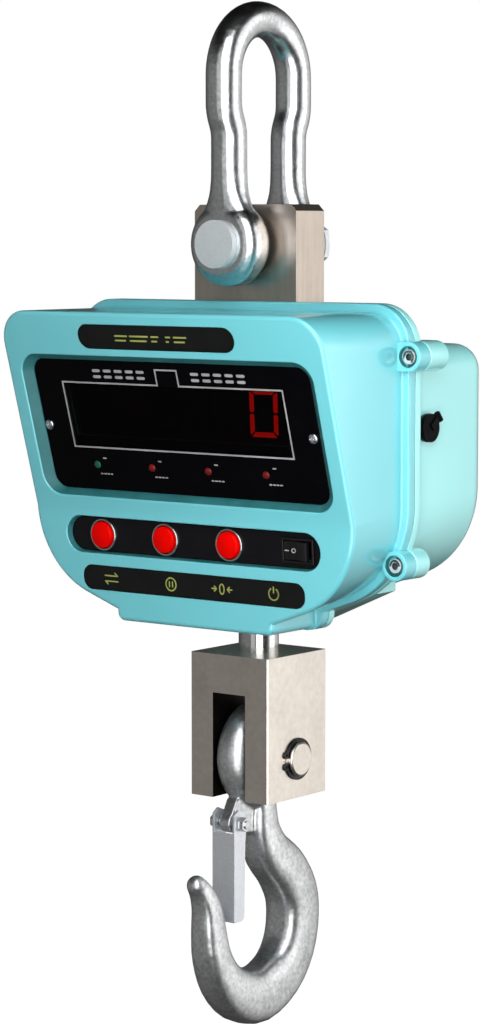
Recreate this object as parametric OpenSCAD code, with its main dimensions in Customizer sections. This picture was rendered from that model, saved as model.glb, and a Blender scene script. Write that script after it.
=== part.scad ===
// Hanging crane scale with a shackle above, a die-cast display housing round a
// load cell, and a swivel clevis block with a latched eye hook below.
// Millimetres. The origin is the inner crown of the shackle bow, +Z is up and the
// display faces -Y.

/* [Shackle] */
// Diameter of the forged shackle bar
bar_d = 22; // [20:0.5:23]
// Distance between the centres of the two straight legs
leg_span = 59; // [57:0.5:62]
// Distance between the bar centres at the widest part of the bow
bow_span = 69.5; // [66:0.5:74]
// Drop from the inner crown of the bow to the axis of the shackle pin
pin_drop = 125; // [118:1:130]
// Outer radius of the two ears
ear_r = 25.7; // [24:0.1:27]
// Diameter of the shackle pin
pin_d = 24; // [20:0.5:24.5]

/* [Load cell] */
// Width of the upper block
cell_w = 78.4; // [70:0.2:80]
// Thickness of the upper block
cell_t = 28.3; // [24:0.1:28.4]
// Height of the top face of the upper block
cell_top = -101; // [-103:1:-98]

/* [Housing] */
// Half of the width across the straight side walls
house_hw = 122; // [118:1:124]
// Height of the flat top of the front shell
house_top = -165; // [-168:1:-163]
// Height where the tilted display face meets the steeper lower face
bend_z = -287; // [-290:1:-284]
// Y of the face at that bend
bend_y = -69.6; // [-74:0.2:-66]
// Tilt of the display face from vertical
tilt_up = 16.2; // [12:0.1:18]
// Tilt of the lower face from vertical
tilt_low = 3.9; // [2:0.1:6]
// Wall thickness of both castings
wall = 3.5; // [3:0.1:4]
// How far the seam flange stands out from the wall
flange = 5.5; // [4:0.1:6]
// Y of the seam between the two shells
seam_y = -15.1; // [-15.4:0.1:-14.9]
// Y of the rear face of the rear shell
rear_y = 71; // [68:1:76]

/* [Controls] */
// Diameter of the red button caps
button_d = 16.4; // [14:0.1:16.6]
// Distance between neighbouring buttons
button_pitch = 49.2; // [44:0.1:50]
// Travel of a button
button_travel = 1.5; // [1:0.1:1.6]
// Angle of the rocker switch at either stop
rocker_angle = 8; // [5:0.5:9]
// Number of seven-segment display modules
digit_count = 6; // [4:1:6]

/* [Hook block] */
// Width and depth of the square block
block_w = 60; // [56:1:64]
// Height of the top face of the block
block_top = -376; // [-378:1:-372]
// Height of the block
block_h = 89.5; // [86:0.5:92]
// Width of the slot that takes the hook eye
slot_w = 25.2; // [23.4:0.1:26]
// Diameter of the swivel rod
rod_d = 25; // [22:0.5:25]
// Diameter of the hook pin
hook_pin_d = 21; // [18:0.5:21]

/* [Hook] */
// Height of the hook pin axis
hook_pin_z = -441; // [-443:1:-439]
// Radius of the hook eye's bar
eye_bar_r = 11.9; // [10:0.1:12]
// Width of the safety latch
latch_w = 17.4; // [16:0.1:18]

/* [Hidden] */

$fn = 64;
e = 0.02;                         // cuts run this far past a face
bar_r = bar_d / 2;
leg_y = leg_span / 2;
pin_z = -pin_drop;
ear_t = 22;
ear_in = leg_y - ear_t / 2;
ear_out = leg_y + ear_t / 2;
pin_play = 0.4;                   // radial play of the load cell on the shackle pin
thread_d = 16;
nut_t = 13;
nut_r = 16.7;                     // shackle nut, to its corners

// housing
corner_r = 21;                    // upper corners of the front shell
low_cx = 64;                      // centre and radius of the big lower corner
low_cz = bend_z + 9;
low_r = house_hw - low_cx;
low_end = 70;
low_drop = 7.5;                   // the underside falls this much towards the front face
foot_hw = 60;                     // half width of the boss under the housing
foot_z = -355.5;
foot_r = 5;
edge_r = 4;                       // rounding round the front face
flange_front = -22;
flange_back = -9;
gasket_t = 0.6;
rear_top = -185;
rear_hw = house_hw - 1;
rear_corner = 16;
rear_round = 14;
low_flat = 45;                    // the underside of the rear shell is flat inside this
low_rise = 4;                     // and rises this much towards the rear face
foot_back = 30;
foot_out = 83;
neck_hw = 52;                     // collar round the load cell
neck_top = -161;
neck_back = 28;
cell_gap = 2.3;
boss_r = 9;
upper_boss = [129, -190];
lower_boss = [120, -313];
boss_front = -26;

// display recess, measured up the tilted face from the bend
lip_hw = 111;
lip_lo = 8;
lip_hi = 99;
panel_hw = 105.4;
panel_lo = 11;
panel_hi = 94.6;
panel_face = -5.1;                // the panel lies this far behind the face
panel_t = 2.4;
panel_floor = panel_face - panel_t;
pan_t = 2.6;
digit_y = 64.8;
digit_pitch = 27.6;
digit_w = 27.2;
digit_h = 38;
window_hw = digit_pitch * digit_count / 2 + 0.8;
pcb_z = -18;
pcb_t = 1.6;
panel_screw = [101, 52];
led_y = 27.2;
led_x = [-69, -25.7, 17.6, 60.9];

// control strip, measured up the lower face from the bend
strip_y = -16.4;
strip_w = 195;
strip_h = 22.8;
strip_face = -4;
strip_floor = -6;
strip_back = -8.6;
label_y = -42.8;
label_hw = 85.4;
label_h = 15.6;
label_r = 7;
name_y = 111.5;
name_w = 119;
name_h = 15.5;
button_x = [-70.6, -70.6 + button_pitch, -70.6 + 2 * button_pitch];
bezel_r = 10.2;
stem_end = -10;                   // the caps' stems reach this deep into the switches
rocker_x = 79.1;
rocker_pivot = -7;

// load cell and swivel
cell_hw = cell_w / 2;
cell_ht = cell_t / 2;
mid_hw = 27;
shoulder_z = -203;
bracket_screw_z = -197;
gauge_z = -232;
yoke_hw = 33;
yoke_ht = 24;
yoke_top = -260;
yoke_bottom = -346;
seat_z = -322;                    // seat of the thrust bearing
race_t = 3.2;
ball_r = 2.1;
ball_ring = 17;
ball_z = seat_z + 5.5;
bearing_h = 11;
rod_r = rod_d / 2;
rod_nut_h = 19;
split_pin_z = seat_z + bearing_h + rod_nut_h + 2.6;

// block and hook
block_bottom = block_top - block_h;
slot_top = -400;
hook_pin_r = hook_pin_d / 2;
pin_over = 4;
eye_ring_r = hook_pin_r + 0.3 + eye_bar_r;
latch_pivot = [-29, -480];
latch_len = 61;
latch_t = 1.6;

// ---------- shared shapes ----------

function arc(cx, cy, r, a0, a1, n) =
    [for (i = [0:n]) let (a = a0 + (a1 - a0) * i / n) [cx + r * cos(a), cy + r * sin(a)]];

function mirrored(p) = [for (i = [len(p) - 1:-1:0]) [-p[i][0], p[i][1]]];

// places a drawing of X and Z as a slab from y0 to y1
module slab(y0, y1) {
    translate([0, y1, 0])
        rotate([90, 0, 0])
            linear_extrude(y1 - y0) children();
}

module x_rod(d, x0, x1, y = 0, z = 0) {
    translate([x0, y, z]) rotate([0, 90, 0]) cylinder(d = d, h = x1 - x0);
}

module y_rod(d, y0, y1, x = 0, z = 0) {
    translate([x, y0, z]) rotate([-90, 0, 0]) cylinder(d = d, h = y1 - y0);
}

// frames of the two faces: x across, y up the face, z out of the face
module on_display_face() {
    translate([0, bend_y, bend_z]) rotate([90 + tilt_up, 0, 0]) children();
}

module on_lower_face() {
    translate([0, bend_y, bend_z]) rotate([90 + tilt_low, 0, 0]) children();
}

module stadium(w, h) {
    square([w - h, h], center = true);
    for (s = [-1, 1])
        translate([s * (w - h) / 2, 0]) circle(d = h);
}

module round_rect(hw, y0, y1, r) {
    translate([-hw + r, y0]) square([2 * (hw - r), y1 - y0]);
    translate([-hw, y0 + r]) square([2 * hw, y1 - y0 - 2 * r]);
    for (s = [-1, 1], y = [y0 + r, y1 - r])
        translate([s * (hw - r), y]) circle(r);
}

// a closed solid swept along a path whose points are [x, y, z, a, b]: a is the half
// depth across ref, b is the half width along ref, power below 1 squares the oval
function at(p, i) = p[min(max(i, 0), len(p) - 1)];

function place(q) = [q[0], q[1], q[2]];

function unit(v) = v / norm(v);

function bulge(c, power) = sign(c) * pow(abs(c), power);

function ring(path, i, ref, sides, power) =
    let (t = unit(place(at(path, i + 1)) - place(at(path, i - 1))),
        b = unit(ref - (ref * t) * t), n = cross(t, b), q = path[i])
    [for (k = [0:sides - 1])
        place(q) + n * q[3] * bulge(cos(360 * k / sides), power)
            + b * q[4] * bulge(sin(360 * k / sides), power)];

function tube_faces(rings, sides) = concat(
    [[for (k = [sides - 1:-1:0]) k]],
    [for (i = [0:rings - 2], k = [0:sides - 1]) let (m = (k + 1) % sides)
        [i * sides + k, i * sides + m, (i + 1) * sides + m, (i + 1) * sides + k]],
    [[for (k = [0:sides - 1]) (rings - 1) * sides + k]]);

module sweep(path, ref, sides, power = 1) {
    polyhedron(points = [for (i = [0:len(path) - 1]) each ring(path, i, ref, sides, power)],
        faces = tube_faces(len(path), sides), convexity = 8);
}

function blend4(a, b, c, d, t) =
    0.5 * (2 * b + (c - a) * t + (2 * a - 5 * b + 4 * c - d) * t * t
        + (3 * b - a - 3 * c + d) * t * t * t);

// a smooth path through every point, with steps places on each stretch
function smooth(p, steps) = concat(
    [for (i = [0:len(p) - 2], k = [0:steps - 1])
        blend4(at(p, i - 1), at(p, i), at(p, i + 1), at(p, i + 2), k / steps)],
    [p[len(p) - 1]]);

// a round wire or cable through a list of places
module wire(places, d) {
    sweep(smooth([for (q = places) [q[0], q[1], q[2], d / 2, d / 2]], 3), [0.2, 0.3, 1], 8);
}

module split_pin(length, d, head) {
    cylinder(d = d, h = length, $fn = 24);
    translate([0, 0, length + head / 2 - d / 2])
        rotate([90, 0, 0])
            rotate_extrude($fn = 32) translate([head / 2, 0]) circle(d = d, $fn = 16);
}

// ---------- outlines of the housing, o is an offset outwards ----------

function foot_bottom(o) = o > 0 ? foot_z - 1 : foot_z - o;

function corner_end(o) =
    [low_cx + (low_r + o) * cos(low_end), low_cz - (low_r + o) * sin(low_end)];

function front_half(o) = concat(
    arc(house_hw - corner_r, house_top - corner_r, corner_r + o, 90, 0, 10),
    arc(low_cx, low_cz, low_r + o, 0, -low_end, 14),
    [[foot_hw + o, corner_end(o)[1] - (corner_end(o)[0] - foot_hw - o) * tan(90 - low_end)]],
    arc(foot_hw - foot_r, foot_bottom(o) + foot_r + max(o, 0), foot_r + o, 0, -90, 4));

function rear_half(o, rise) = concat(
    arc(rear_hw - rear_corner, rear_top - rear_corner, max(rear_corner + o, 2), 90, 0, 8),
    arc(low_cx, low_cz + rise, low_r - 1 + o, 0, -low_end, 14),
    [[low_flat, low_cz + rise - (low_r - 1 + o) * sin(low_end)
        - (low_cx + (low_r - 1 + o) * cos(low_end) - low_flat) * tan(90 - low_end)]]);

module both_sides(half) {
    polygon(concat(half, mirrored(half)));
}

module front_outline(o) {
    both_sides(front_half(o));
}

module rear_outline(o, rise = 0) {
    both_sides(rear_half(o, rise));
}

// ---------- shackle ----------

bow_r = bow_span / 2;
bow_cz = bar_r - bow_r;
neck_shift = (bow_span - leg_span) / 2;
neck_bend = 26.8;
neck_r = neck_shift / (2 * (1 - cos(neck_bend)));
neck_z = -40;
neck_len = 2 * neck_r * sin(neck_bend);

// the +Y half of the bar, from inside the ear to the crown; the bar widens in X as it
// flows into the ear
leg_path = concat(
    [for (w = [[12, 21], [16, 19.5], [20, 17.4], [25, 14.6], [31, 12.4], [38, 11.3], [46, 11]])
        [0, leg_y, pin_z + w[0], bar_r, w[1] + bar_r - 11]],
    [for (q = concat(
        [[leg_y, neck_z - neck_len - 5]],
        arc(leg_y + neck_r, neck_z - neck_len, neck_r, 180, 180 - neck_bend, 4),
        arc(bow_r - neck_r, neck_z, neck_r, -neck_bend, 0, 4),
        arc(0, bow_cz, bow_r, 0, 90, 12))) [0, q[0], q[1], bar_r, bar_r]]);

bow_path = concat(leg_path,
    [for (i = [len(leg_path) - 2:-1:0]) let (q = leg_path[i]) [q[0], -q[1], q[2], q[3], q[4]]]);

module shackle_ear() {
    translate([0, ear_in, pin_z])
        rotate([-90, 0, 0])
            rotate_extrude()
                polygon(concat([[0, 0]], arc(ear_r - 7, 7, 7, -90, 0, 6),
                    arc(ear_r - 9, ear_t - 9, 9, 0, 90, 8), [[0, ear_t]]));
}

module shackle_bow() color("silver") {
    difference() {
        union() {
            sweep(bow_path, [1, 0, 0], 24);
            shackle_ear();
            mirror([0, 1, 0]) shackle_ear();
        }
        y_rod(pin_d + 0.6, -60, 60, 0, pin_z);
    }
}

module shackle_pin() color("gainsboro") {
    difference() {
        union() {
            y_rod(29, -ear_out - 4.4, -ear_out - 0.1, 0, pin_z);
            y_rod(pin_d, -ear_out - 0.2, ear_out, 0, pin_z);
            y_rod(thread_d, ear_out - 1, ear_out + nut_t + 9, 0, pin_z);
        }
        translate([0, ear_out + nut_t + 4, pin_z - 20]) cylinder(d = 4.4, h = 40);
    }
}

module shackle_nut() color("silver") {
    difference() {
        intersection() {
            translate([0, ear_out + 0.1, pin_z])
                rotate([-90, 30, 0]) cylinder(r = nut_r, h = nut_t - 0.1, $fn = 6);
            translate([0, ear_out + 0.1, pin_z])
                rotate([-90, 0, 0])
                    rotate_extrude()
                        polygon([[0, 0], [nut_r - 2, 0], [nut_r, 1.4], [nut_r, nut_t - 1.6],
                            [nut_r - 2, nut_t - 0.1], [0, nut_t - 0.1]]);
        }
        y_rod(thread_d + 0.1, ear_out - 1, ear_out + nut_t + 1, 0, pin_z);
    }
}

module shackle_cotter() color("lightgray") {
    translate([0, ear_out + nut_t + 4, pin_z - 12]) split_pin(24.6, 4, 6);
}

// ---------- load cell ----------

module load_cell() color("tan") {
    difference() {
        union() {
            slab(-cell_ht, cell_ht)
                polygon([[-cell_hw, shoulder_z], [-cell_hw, cell_top - 4], [-cell_hw + 4, cell_top],
                    [cell_hw - 4, cell_top], [cell_hw, cell_top - 4], [cell_hw, shoulder_z],
                    [mid_hw, shoulder_z - 10], [mid_hw, yoke_top], [-mid_hw, yoke_top],
                    [-mid_hw, shoulder_z - 10]]);
            translate([-yoke_hw, -yoke_ht, yoke_bottom])
                cube([2 * yoke_hw, 2 * yoke_ht, yoke_top - yoke_bottom]);
        }
        y_rod(pin_d + 2 * pin_play, -40, 40, 0, pin_z);
        for (s = [-1, 1]) {
            y_rod(34, s > 0 ? cell_ht - 6 : -cell_ht - 1, s > 0 ? cell_ht + 1 : -cell_ht + 6,
                0, gauge_z);
            for (y = [-7, 7])
                x_rod(6.1, s > 0 ? cell_hw - 14 : -cell_hw - 1, s > 0 ? cell_hw + 1 : -cell_hw + 14,
                    y, bracket_screw_z);
        }
        y_rod(5, -cell_ht, cell_ht, 0, gauge_z);
        x_rod(5, 0, mid_hw + 1, 0, gauge_z);
        translate([-24, -yoke_ht - 1, seat_z]) cube([48, 2 * yoke_ht + 2, 50]);
        translate([0, 0, yoke_bottom - 1]) cylinder(d = rod_d + 0.8, h = 30);
    }
}

module strain_gauges() color("orange") {
    for (s = [-1, 1], x = [-1, 1])
        translate([x * 8 - 3, s > 0 ? cell_ht - 6 : -cell_ht + 5.7, gauge_z - 5])
            cube([6, 0.3, 10]);
}

module gauge_covers() color("silver") {
    y_rod(33.9, cell_ht - 1.5, cell_ht, 0, gauge_z);
    y_rod(33.9, -cell_ht, -cell_ht + 1.5, 0, gauge_z);
}

bracket_top = rear_top - wall;
bracket_t = 3;

module mounting_brackets() color("silver") {
    for (s = [0, 1]) mirror([s, 0, 0])
        difference() {
            slab(-8.5, 12)
                polygon([[cell_hw, bracket_top], [cell_hw + 24, bracket_top],
                    [cell_hw + 24, bracket_top - bracket_t],
                    [cell_hw + bracket_t, bracket_top - bracket_t],
                    [cell_hw + bracket_t, shoulder_z], [cell_hw, shoulder_z]]);
            for (y = [-7, 7]) x_rod(6.1, cell_hw - 1, cell_hw + bracket_t + 1, y, bracket_screw_z);
            translate([cell_hw + 16, 2, bracket_top - bracket_t - 1]) cylinder(d = 5.1, h = 6);
        }
}

module bracket_screws() color("dimgray") {
    for (s = [0, 1]) mirror([s, 0, 0]) {
        for (y = [-7, 7]) {
            x_rod(6, cell_hw - 12, cell_hw + bracket_t + 0.5, y, bracket_screw_z);
            x_rod(9, cell_hw + bracket_t, cell_hw + bracket_t + 3.2, y, bracket_screw_z);
        }
        translate([cell_hw + 16, 2, bracket_top - bracket_t - 0.5]) cylinder(d = 5, h = 12);
        translate([cell_hw + 16, 2, bracket_top - bracket_t - 4]) cylinder(d = 9, h = 4);
    }
}

// ---------- front shell ----------

// one thin slice of a face rounding, sheared so that it follows the tilt
module face_slice(tilt, depth) {
    multmatrix([[1, 0, 0, 0], [0, 1, -tan(tilt), bend_y + tan(tilt) * bend_z + depth],
        [0, 0, 1, 0], [0, 0, 0, 1]])
        slab(0, e) children();
}

function bend_x(o, drop) = house_hw + o - (drop > 0 ? 0 : 0.7);

function upper_part(o, drop) = concat(
    arc(house_hw - corner_r, house_top - corner_r, corner_r + o, 90, 0, 10),
    [[house_hw + o, low_cz], [bend_x(o, drop), bend_z]]);

function lower_part(o, drop) = concat(
    [[bend_x(o, drop), bend_z]],
    arc(low_cx, low_cz - drop, low_r + o, -10, -low_end, 12),
    [[foot_hw, corner_end(o)[1] - drop - (corner_end(o)[0] - foot_hw) * tan(90 - low_end)]]);

function foot_part(o) = concat(
    [[foot_hw + o, bend_z - 20]],
    arc(foot_hw - foot_r, foot_z + foot_r, foot_r + o, 0, -90, 5));

module front_solid() {
    hull() {
        for (a = [0:22.5:90])
            face_slice(tilt_up, edge_r * (1 - sin(a)))
                both_sides(upper_part(-edge_r * (1 - cos(a)), low_drop));
        slab(seam_y - 1, seam_y - gasket_t / 2) both_sides(upper_part(0, 0));
    }
    hull() {
        for (a = [0:22.5:90])
            face_slice(tilt_low, edge_r * (1 - sin(a)))
                both_sides(lower_part(-edge_r * (1 - cos(a)), low_drop));
        slab(seam_y - 1, seam_y - gasket_t / 2) both_sides(lower_part(0, 0));
    }
    hull() {
        for (a = [0:30:90])
            face_slice(tilt_low, edge_r * (1 - sin(a)))
                both_sides(foot_part(-edge_r * (1 - cos(a))));
        slab(seam_y - 1, seam_y - gasket_t / 2) both_sides(foot_part(0));
    }
}

module front_cavity() {
    difference() {
        slab(-120, seam_y + 1) front_outline(-wall);
        on_display_face()
            translate([-200, -8, -wall]) cube([400, 200, 60]);
        on_lower_face()
            translate([-200, -140, -wall]) cube([400, 140 + 1, 60]);
    }
}

module stadium_cut(w, h, depth, flare) {
    hull() {
        translate([0, 0, -depth]) linear_extrude(e) stadium(w, h);
        translate([0, 0, 1]) linear_extrude(e) stadium(w + 2 * flare, h + 2 * flare);
    }
}

module rocker_window(dw, z0, z1) {
    translate([rocker_x, strip_y, (z0 + z1) / 2])
        cube([20.4 + dw, 11.8 + dw, z1 - z0], center = true);
}

module label_shape(o) {
    round_rect(label_hw + o, label_y - label_h / 2 - o, label_y + label_h / 2 + o, label_r + o);
}

module front_bosses() {
    for (s = [-1, 1]) {
        y_rod(2 * boss_r, boss_front, seam_y - gasket_t / 2, s * upper_boss[0], upper_boss[1]);
        y_rod(2 * boss_r, boss_front, seam_y - gasket_t / 2, s * lower_boss[0], lower_boss[1]);
        translate([s > 0 ? house_hw - 2 : -upper_boss[0], boss_front, upper_boss[1] - boss_r])
            cube([upper_boss[0] - house_hw + 2, seam_y - gasket_t / 2 - boss_front, 2 * boss_r]);
    }
}

module boss_positions() {
    for (s = [-1, 1], b = [upper_boss, lower_boss])
        translate([s * b[0], 0, b[1]]) rotate([-90, 0, 0]) children();
}

module front_housing() color("mediumturquoise") {
    difference() {
        union() {
            difference() {
                union() {
                    front_solid();
                    slab(flange_front, seam_y - gasket_t / 2) front_outline(flange);
                }
                front_cavity();
            }
            on_display_face()
                translate([-lip_hw - 3, lip_lo - 3, panel_floor - pan_t])
                    cube([2 * lip_hw + 6, lip_hi - lip_lo + 6, -wall + 0.5 - panel_floor + pan_t]);
            on_lower_face()
                translate([-strip_w / 2 - 3, strip_y - strip_h / 2 - 3, strip_back])
                    cube([strip_w + 6, strip_h + 4, -wall + 0.5 - strip_back]);
            front_bosses();
        }
        on_display_face() {
            hull() {
                translate([0, 0, panel_floor])
                    linear_extrude(panel_t) round_rect(panel_hw + 0.2, panel_lo - 0.2,
                        panel_hi + 0.2, 9.2, $fn = 32);
                translate([0, 0, 0.2])
                    linear_extrude(e) round_rect(lip_hw, lip_lo, lip_hi, 13, $fn = 32);
            }
            translate([-window_hw, digit_y - digit_h / 2 - 0.8, -30])
                cube([2 * window_hw, digit_h + 1.6, 40]);
            for (x = led_x) translate([x, led_y, -30]) cylinder(d = 6, h = 40);
            for (s = [-1, 1])
                translate([s * panel_screw[0], panel_screw[1], -30]) cylinder(d = 3.1, h = 40);
            translate([0, name_y, -0.5]) linear_extrude(4) stadium(name_w, name_h);
        }
        on_lower_face() {
            translate([0, strip_y, 0]) stadium_cut(strip_w - 1.6, strip_h - 1.6, -strip_floor, 0.9);
            translate([0, 0, -0.5]) linear_extrude(4) label_shape(0);
            for (x = button_x) translate([x, strip_y, -30]) cylinder(d = button_d + 0.8, h = 40);
            rocker_window(0, -20, 4);
        }
        boss_positions() {
            translate([0, 0, boss_front - 1]) cylinder(d = 12.6, h = 7);
            translate([0, 0, boss_front - 1]) cylinder(d = 5.6, h = 20);
        }
    }
}

// ---------- rear shell ----------

// the underside rises towards the rear face, and its edge is rounded twice as far as
// the other three
module rear_solid() {
    hull() {
        slab(flange_back - 4, flange_back) rear_outline(0);
        for (a = [0:15:90])
            slab(rear_y - rear_round - 1, rear_y - rear_round * (1 - sin(a)))
                rear_outline(-rear_round * (1 - cos(a)), low_rise + rear_round * (1 - cos(a)));
    }
}

module rear_cavity() {
    hull() {
        slab(seam_y - 1, rear_y - rear_round - 7) rear_outline(-wall, low_rise);
        slab(rear_y - rear_round - 7, rear_y - wall)
            rear_outline(-rear_round, low_rise + rear_round);
    }
    slab(seam_y - 1, foot_back - wall) foot_cavity();
}

// the foot of the rear shell, under the yoke of the load cell
module rear_foot() {
    both_sides([[30, -320], [foot_out, -328], [foot_out, -335.5], [38, foot_z]]);
}

module foot_cavity() {
    both_sides([[30, -330], [foot_hw - 2, -338], [35, foot_z + wall]]);
}

module cell_opening() {
    translate([-cell_hw - cell_gap, seam_y - 1, rear_top - 10])
        cube([cell_w + 2 * cell_gap, cell_ht + cell_gap - seam_y + 1, 60]);
}

module rear_housing() color("paleturquoise") {
    difference() {
        union() {
            slab(seam_y + gasket_t / 2, flange_back) front_outline(flange);
            rear_solid();
            slab(flange_back - 1, foot_back) rear_foot();
            slab(flange_back - 1, neck_back)
                polygon([[-neck_hw - 6, rear_top - 2], [-neck_hw, neck_top], [neck_hw, neck_top],
                    [neck_hw + 6, rear_top - 2]]);
            for (s = [-1, 1]) {
                y_rod(2 * boss_r, seam_y + gasket_t / 2, 5, s * upper_boss[0], upper_boss[1]);
                y_rod(2 * boss_r, seam_y + gasket_t / 2, 0, s * lower_boss[0], lower_boss[1]);
                translate([s > 0 ? rear_hw - 2 : -upper_boss[0], flange_back - 1,
                    upper_boss[1] - boss_r])
                    cube([upper_boss[0] - rear_hw + 2, 5 - flange_back + 1, 2 * boss_r]);
            }
        }
        rear_cavity();
        cell_opening();
        rod_opening();
        boss_positions() translate([0, 0, seam_y - 1]) cylinder(d = 5.3, h = 18);
        x_rod(12.2, rear_hw - 12, rear_hw + 6, socket_y, socket_z);
        for (s = [0, 1]) mirror([s, 0, 0])
            translate([cell_hw + 16, 2, bracket_top - 5]) cylinder(d = 5.1, h = 14);
    }
}

module rod_opening() {
    translate([0, 0, foot_z - 5]) cylinder(d = 29.2, h = 16);
}

module housing_gasket() color("black") {
    difference() {
        slab(seam_y - gasket_t / 2, seam_y + gasket_t / 2) front_outline(flange - 0.6);
        slab(seam_y - 2, seam_y + 2) intersection() {
            front_outline(-wall);
            union() {
                rear_outline(-wall);
                foot_cavity();
            }
        }
        translate([-cell_hw - cell_gap, seam_y - 2, rear_top - 5])
            cube([cell_w + 2 * cell_gap, 4, rear_top * -1 + house_top + 1]);
        boss_positions() translate([0, 0, seam_y - 2]) cylinder(d = 6, h = 4);
    }
}

module housing_screws() color("silver") {
    boss_positions()
        difference() {
            union() {
                translate([0, 0, boss_front + 6]) cylinder(d = 5, h = 20);
                translate([0, 0, boss_front + 1]) cylinder(d = 8.5, h = 5);
            }
            translate([0, 0, boss_front]) cylinder(d = 4.6, h = 3.6, $fn = 6);
        }
}

module top_seal() color("dimgray") {
    difference() {
        translate([-cell_hw - cell_gap, seam_y + gasket_t / 2, neck_top - 10])
            cube([cell_w + 2 * cell_gap, cell_ht + cell_gap - seam_y - gasket_t / 2, 9]);
        translate([-cell_hw - 0.1, -cell_ht - 0.1, neck_top - 12])
            cube([cell_w + 0.2, cell_t + 0.2, 20]);
    }
}

module bottom_seal() color("dimgray") {
    translate([0, 0, foot_z])
        difference() {
            cylinder(d = 29.1, h = wall);
            translate([0, 0, -1]) cylinder(d = rod_d + 0.6, h = 6);
        }
}

// ---------- display ----------

module display_panel() color([0.06, 0.05, 0.07]) {
    on_display_face()
        translate([0, 0, panel_floor])
            linear_extrude(panel_t)
                difference() {
                    round_rect(panel_hw, panel_lo, panel_hi, 9);
                    for (s = [-1, 1])
                        translate([s * panel_screw[0], panel_screw[1]]) circle(d = 3.2);
                }
}

module panel_screws() color("silver") {
    on_display_face()
        for (s = [-1, 1]) translate([s * panel_screw[0], panel_screw[1], 0]) {
            translate([0, 0, panel_floor - pan_t]) cylinder(d = 3, h = pan_t + panel_t);
            translate([0, 0, panel_face])
                rotate_extrude() polygon([[0, 0], [3.2, 0], [3, 1], [2, 1.8], [0, 2.1]]);
        }
}

module display_pcb() color("darkgreen") {
    on_display_face()
        translate([-98, led_y - 10, pcb_z - pcb_t]) cube([196, 76, pcb_t]);
}

module display_standoffs() color("khaki") {
    on_display_face()
        for (s = [-1, 1], y = [led_y - 5, led_y + 61])
            translate([s * 93, y, pcb_z]) cylinder(d = 6, h = panel_floor - pan_t - pcb_z);
}

module led_digits() color([0.25, 0.05, 0.05]) {
    on_display_face()
        for (i = [0:digit_count - 1])
            translate([(i - (digit_count - 1) / 2) * digit_pitch - digit_w / 2,
                digit_y - digit_h / 2, pcb_z])
                cube([digit_w, digit_h, panel_floor - 0.3 - pcb_z]);
}

module indicator_leds() color("red") {
    on_display_face()
        for (x = led_x) translate([x, led_y, pcb_z]) {
            cylinder(d = 5, h = 7.6, $fn = 32);
            translate([0, 0, 7.6]) sphere(d = 5, $fn = 32);
        }
}

module top_nameplate() color("black") {
    on_display_face() translate([0, name_y, -0.5])
        linear_extrude(0.7) stadium(name_w - 0.4, name_h - 0.4);
}

module lower_label() color("black") {
    on_lower_face() translate([0, 0, -0.5])
        linear_extrude(0.7) label_shape(-0.2);
}

// ---------- controls ----------

module keypad_plate() color([0.08, 0.08, 0.09]) {
    on_lower_face() difference() {
        translate([0, strip_y, strip_floor])
            linear_extrude(strip_face - strip_floor) stadium(strip_w - 1.8, strip_h - 1.8);
        for (x = button_x) translate([x, strip_y, -10]) cylinder(d = button_d + 0.8, h = 10);
        rocker_window(0, -10, 4);
    }
}

module button_bezels() color("silver") {
    on_lower_face() for (x = button_x) translate([x, strip_y, strip_face])
        rotate_extrude()
            polygon([[button_d / 2 + 0.4, 0], [bezel_r, 0], [bezel_r - 0.2, 1.1],
                [bezel_r - 0.8, 1.5], [button_d / 2 + 0.4, 1.2]]);
}

module button_cap(i) color("red") {
    r = button_d / 2;
    on_lower_face() translate([button_x[i], strip_y, 0])
        rotate_extrude()
            polygon(concat([[0, stem_end], [2, stem_end], [2, -6.4], [r, -6.4], [r, -1.6]],
                [for (a = [15:15:75]) [r - 2.6 * (1 - cos(a)) * 1.2, -1.6 + 2.2 * sin(a)]],
                [[r - 4.5, 0.75], [0, 1]]));
}

module button_1() { button_cap(0); }
module button_2() { button_cap(1); }
module button_3() { button_cap(2); }

module button_switches() color("dimgray") {
    on_lower_face() for (x = button_x) translate([x, strip_y, strip_back - 14])
        difference() {
            cylinder(d = 19, h = 14);
            translate([0, 0, 14 - strip_back + stem_end - button_travel - 0.6])
                cylinder(d = 5, h = 6);
        }
}

module rocker_frame() color([0.1, 0.1, 0.1]) {
    on_lower_face() translate([rocker_x, strip_y, strip_face + 0.8])
        difference() {
            cube([23.4, 15.4, 1.6], center = true);
            cube([20.4, 11.8, 4], center = true);
        }
}

module rocker() color([0.12, 0.12, 0.12]) {
    on_lower_face() translate([rocker_x, strip_y + 5.5, rocker_pivot])
        rotate([90, -rocker_angle, 0])
            linear_extrude(11)
                polygon(concat([[9.2, 3.4], [9.2, 5.6], [7.6, 6.2], [0, 4.2], [-7.6, 6.2],
                    [-9.2, 5.6], [-9.2, 3.4]], arc(0, 0, 4.6, 200, 340, 8)));
    on_lower_face() translate([rocker_x, strip_y + 5.8, rocker_pivot])
        rotate([90, 0, 0]) cylinder(d = 3, h = 11.6, $fn = 32);
}

module rocker_body() color("dimgray") {
    on_lower_face() translate([rocker_x, strip_y, strip_back - 10])
        difference() {
            cube([24, 15, 20], center = true);
            translate([0, 0, 2]) cube([20.4, 11.8, 17], center = true);
        }
}

// ---------- electronics in the rear shell ----------

bat_out = 104;
bat_w = 44;
bat_y = -8;
bat_d = 60;
bat_z = -296;
bat_h = 94;
board_y = 55;
board_x = 34;
board_z = -298;
board_w = 62;
board_h = 86;

module main_pcb() color("darkgreen") {
    translate([board_x, board_y, board_z]) cube([board_w, pcb_t, board_h]);
}

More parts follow.
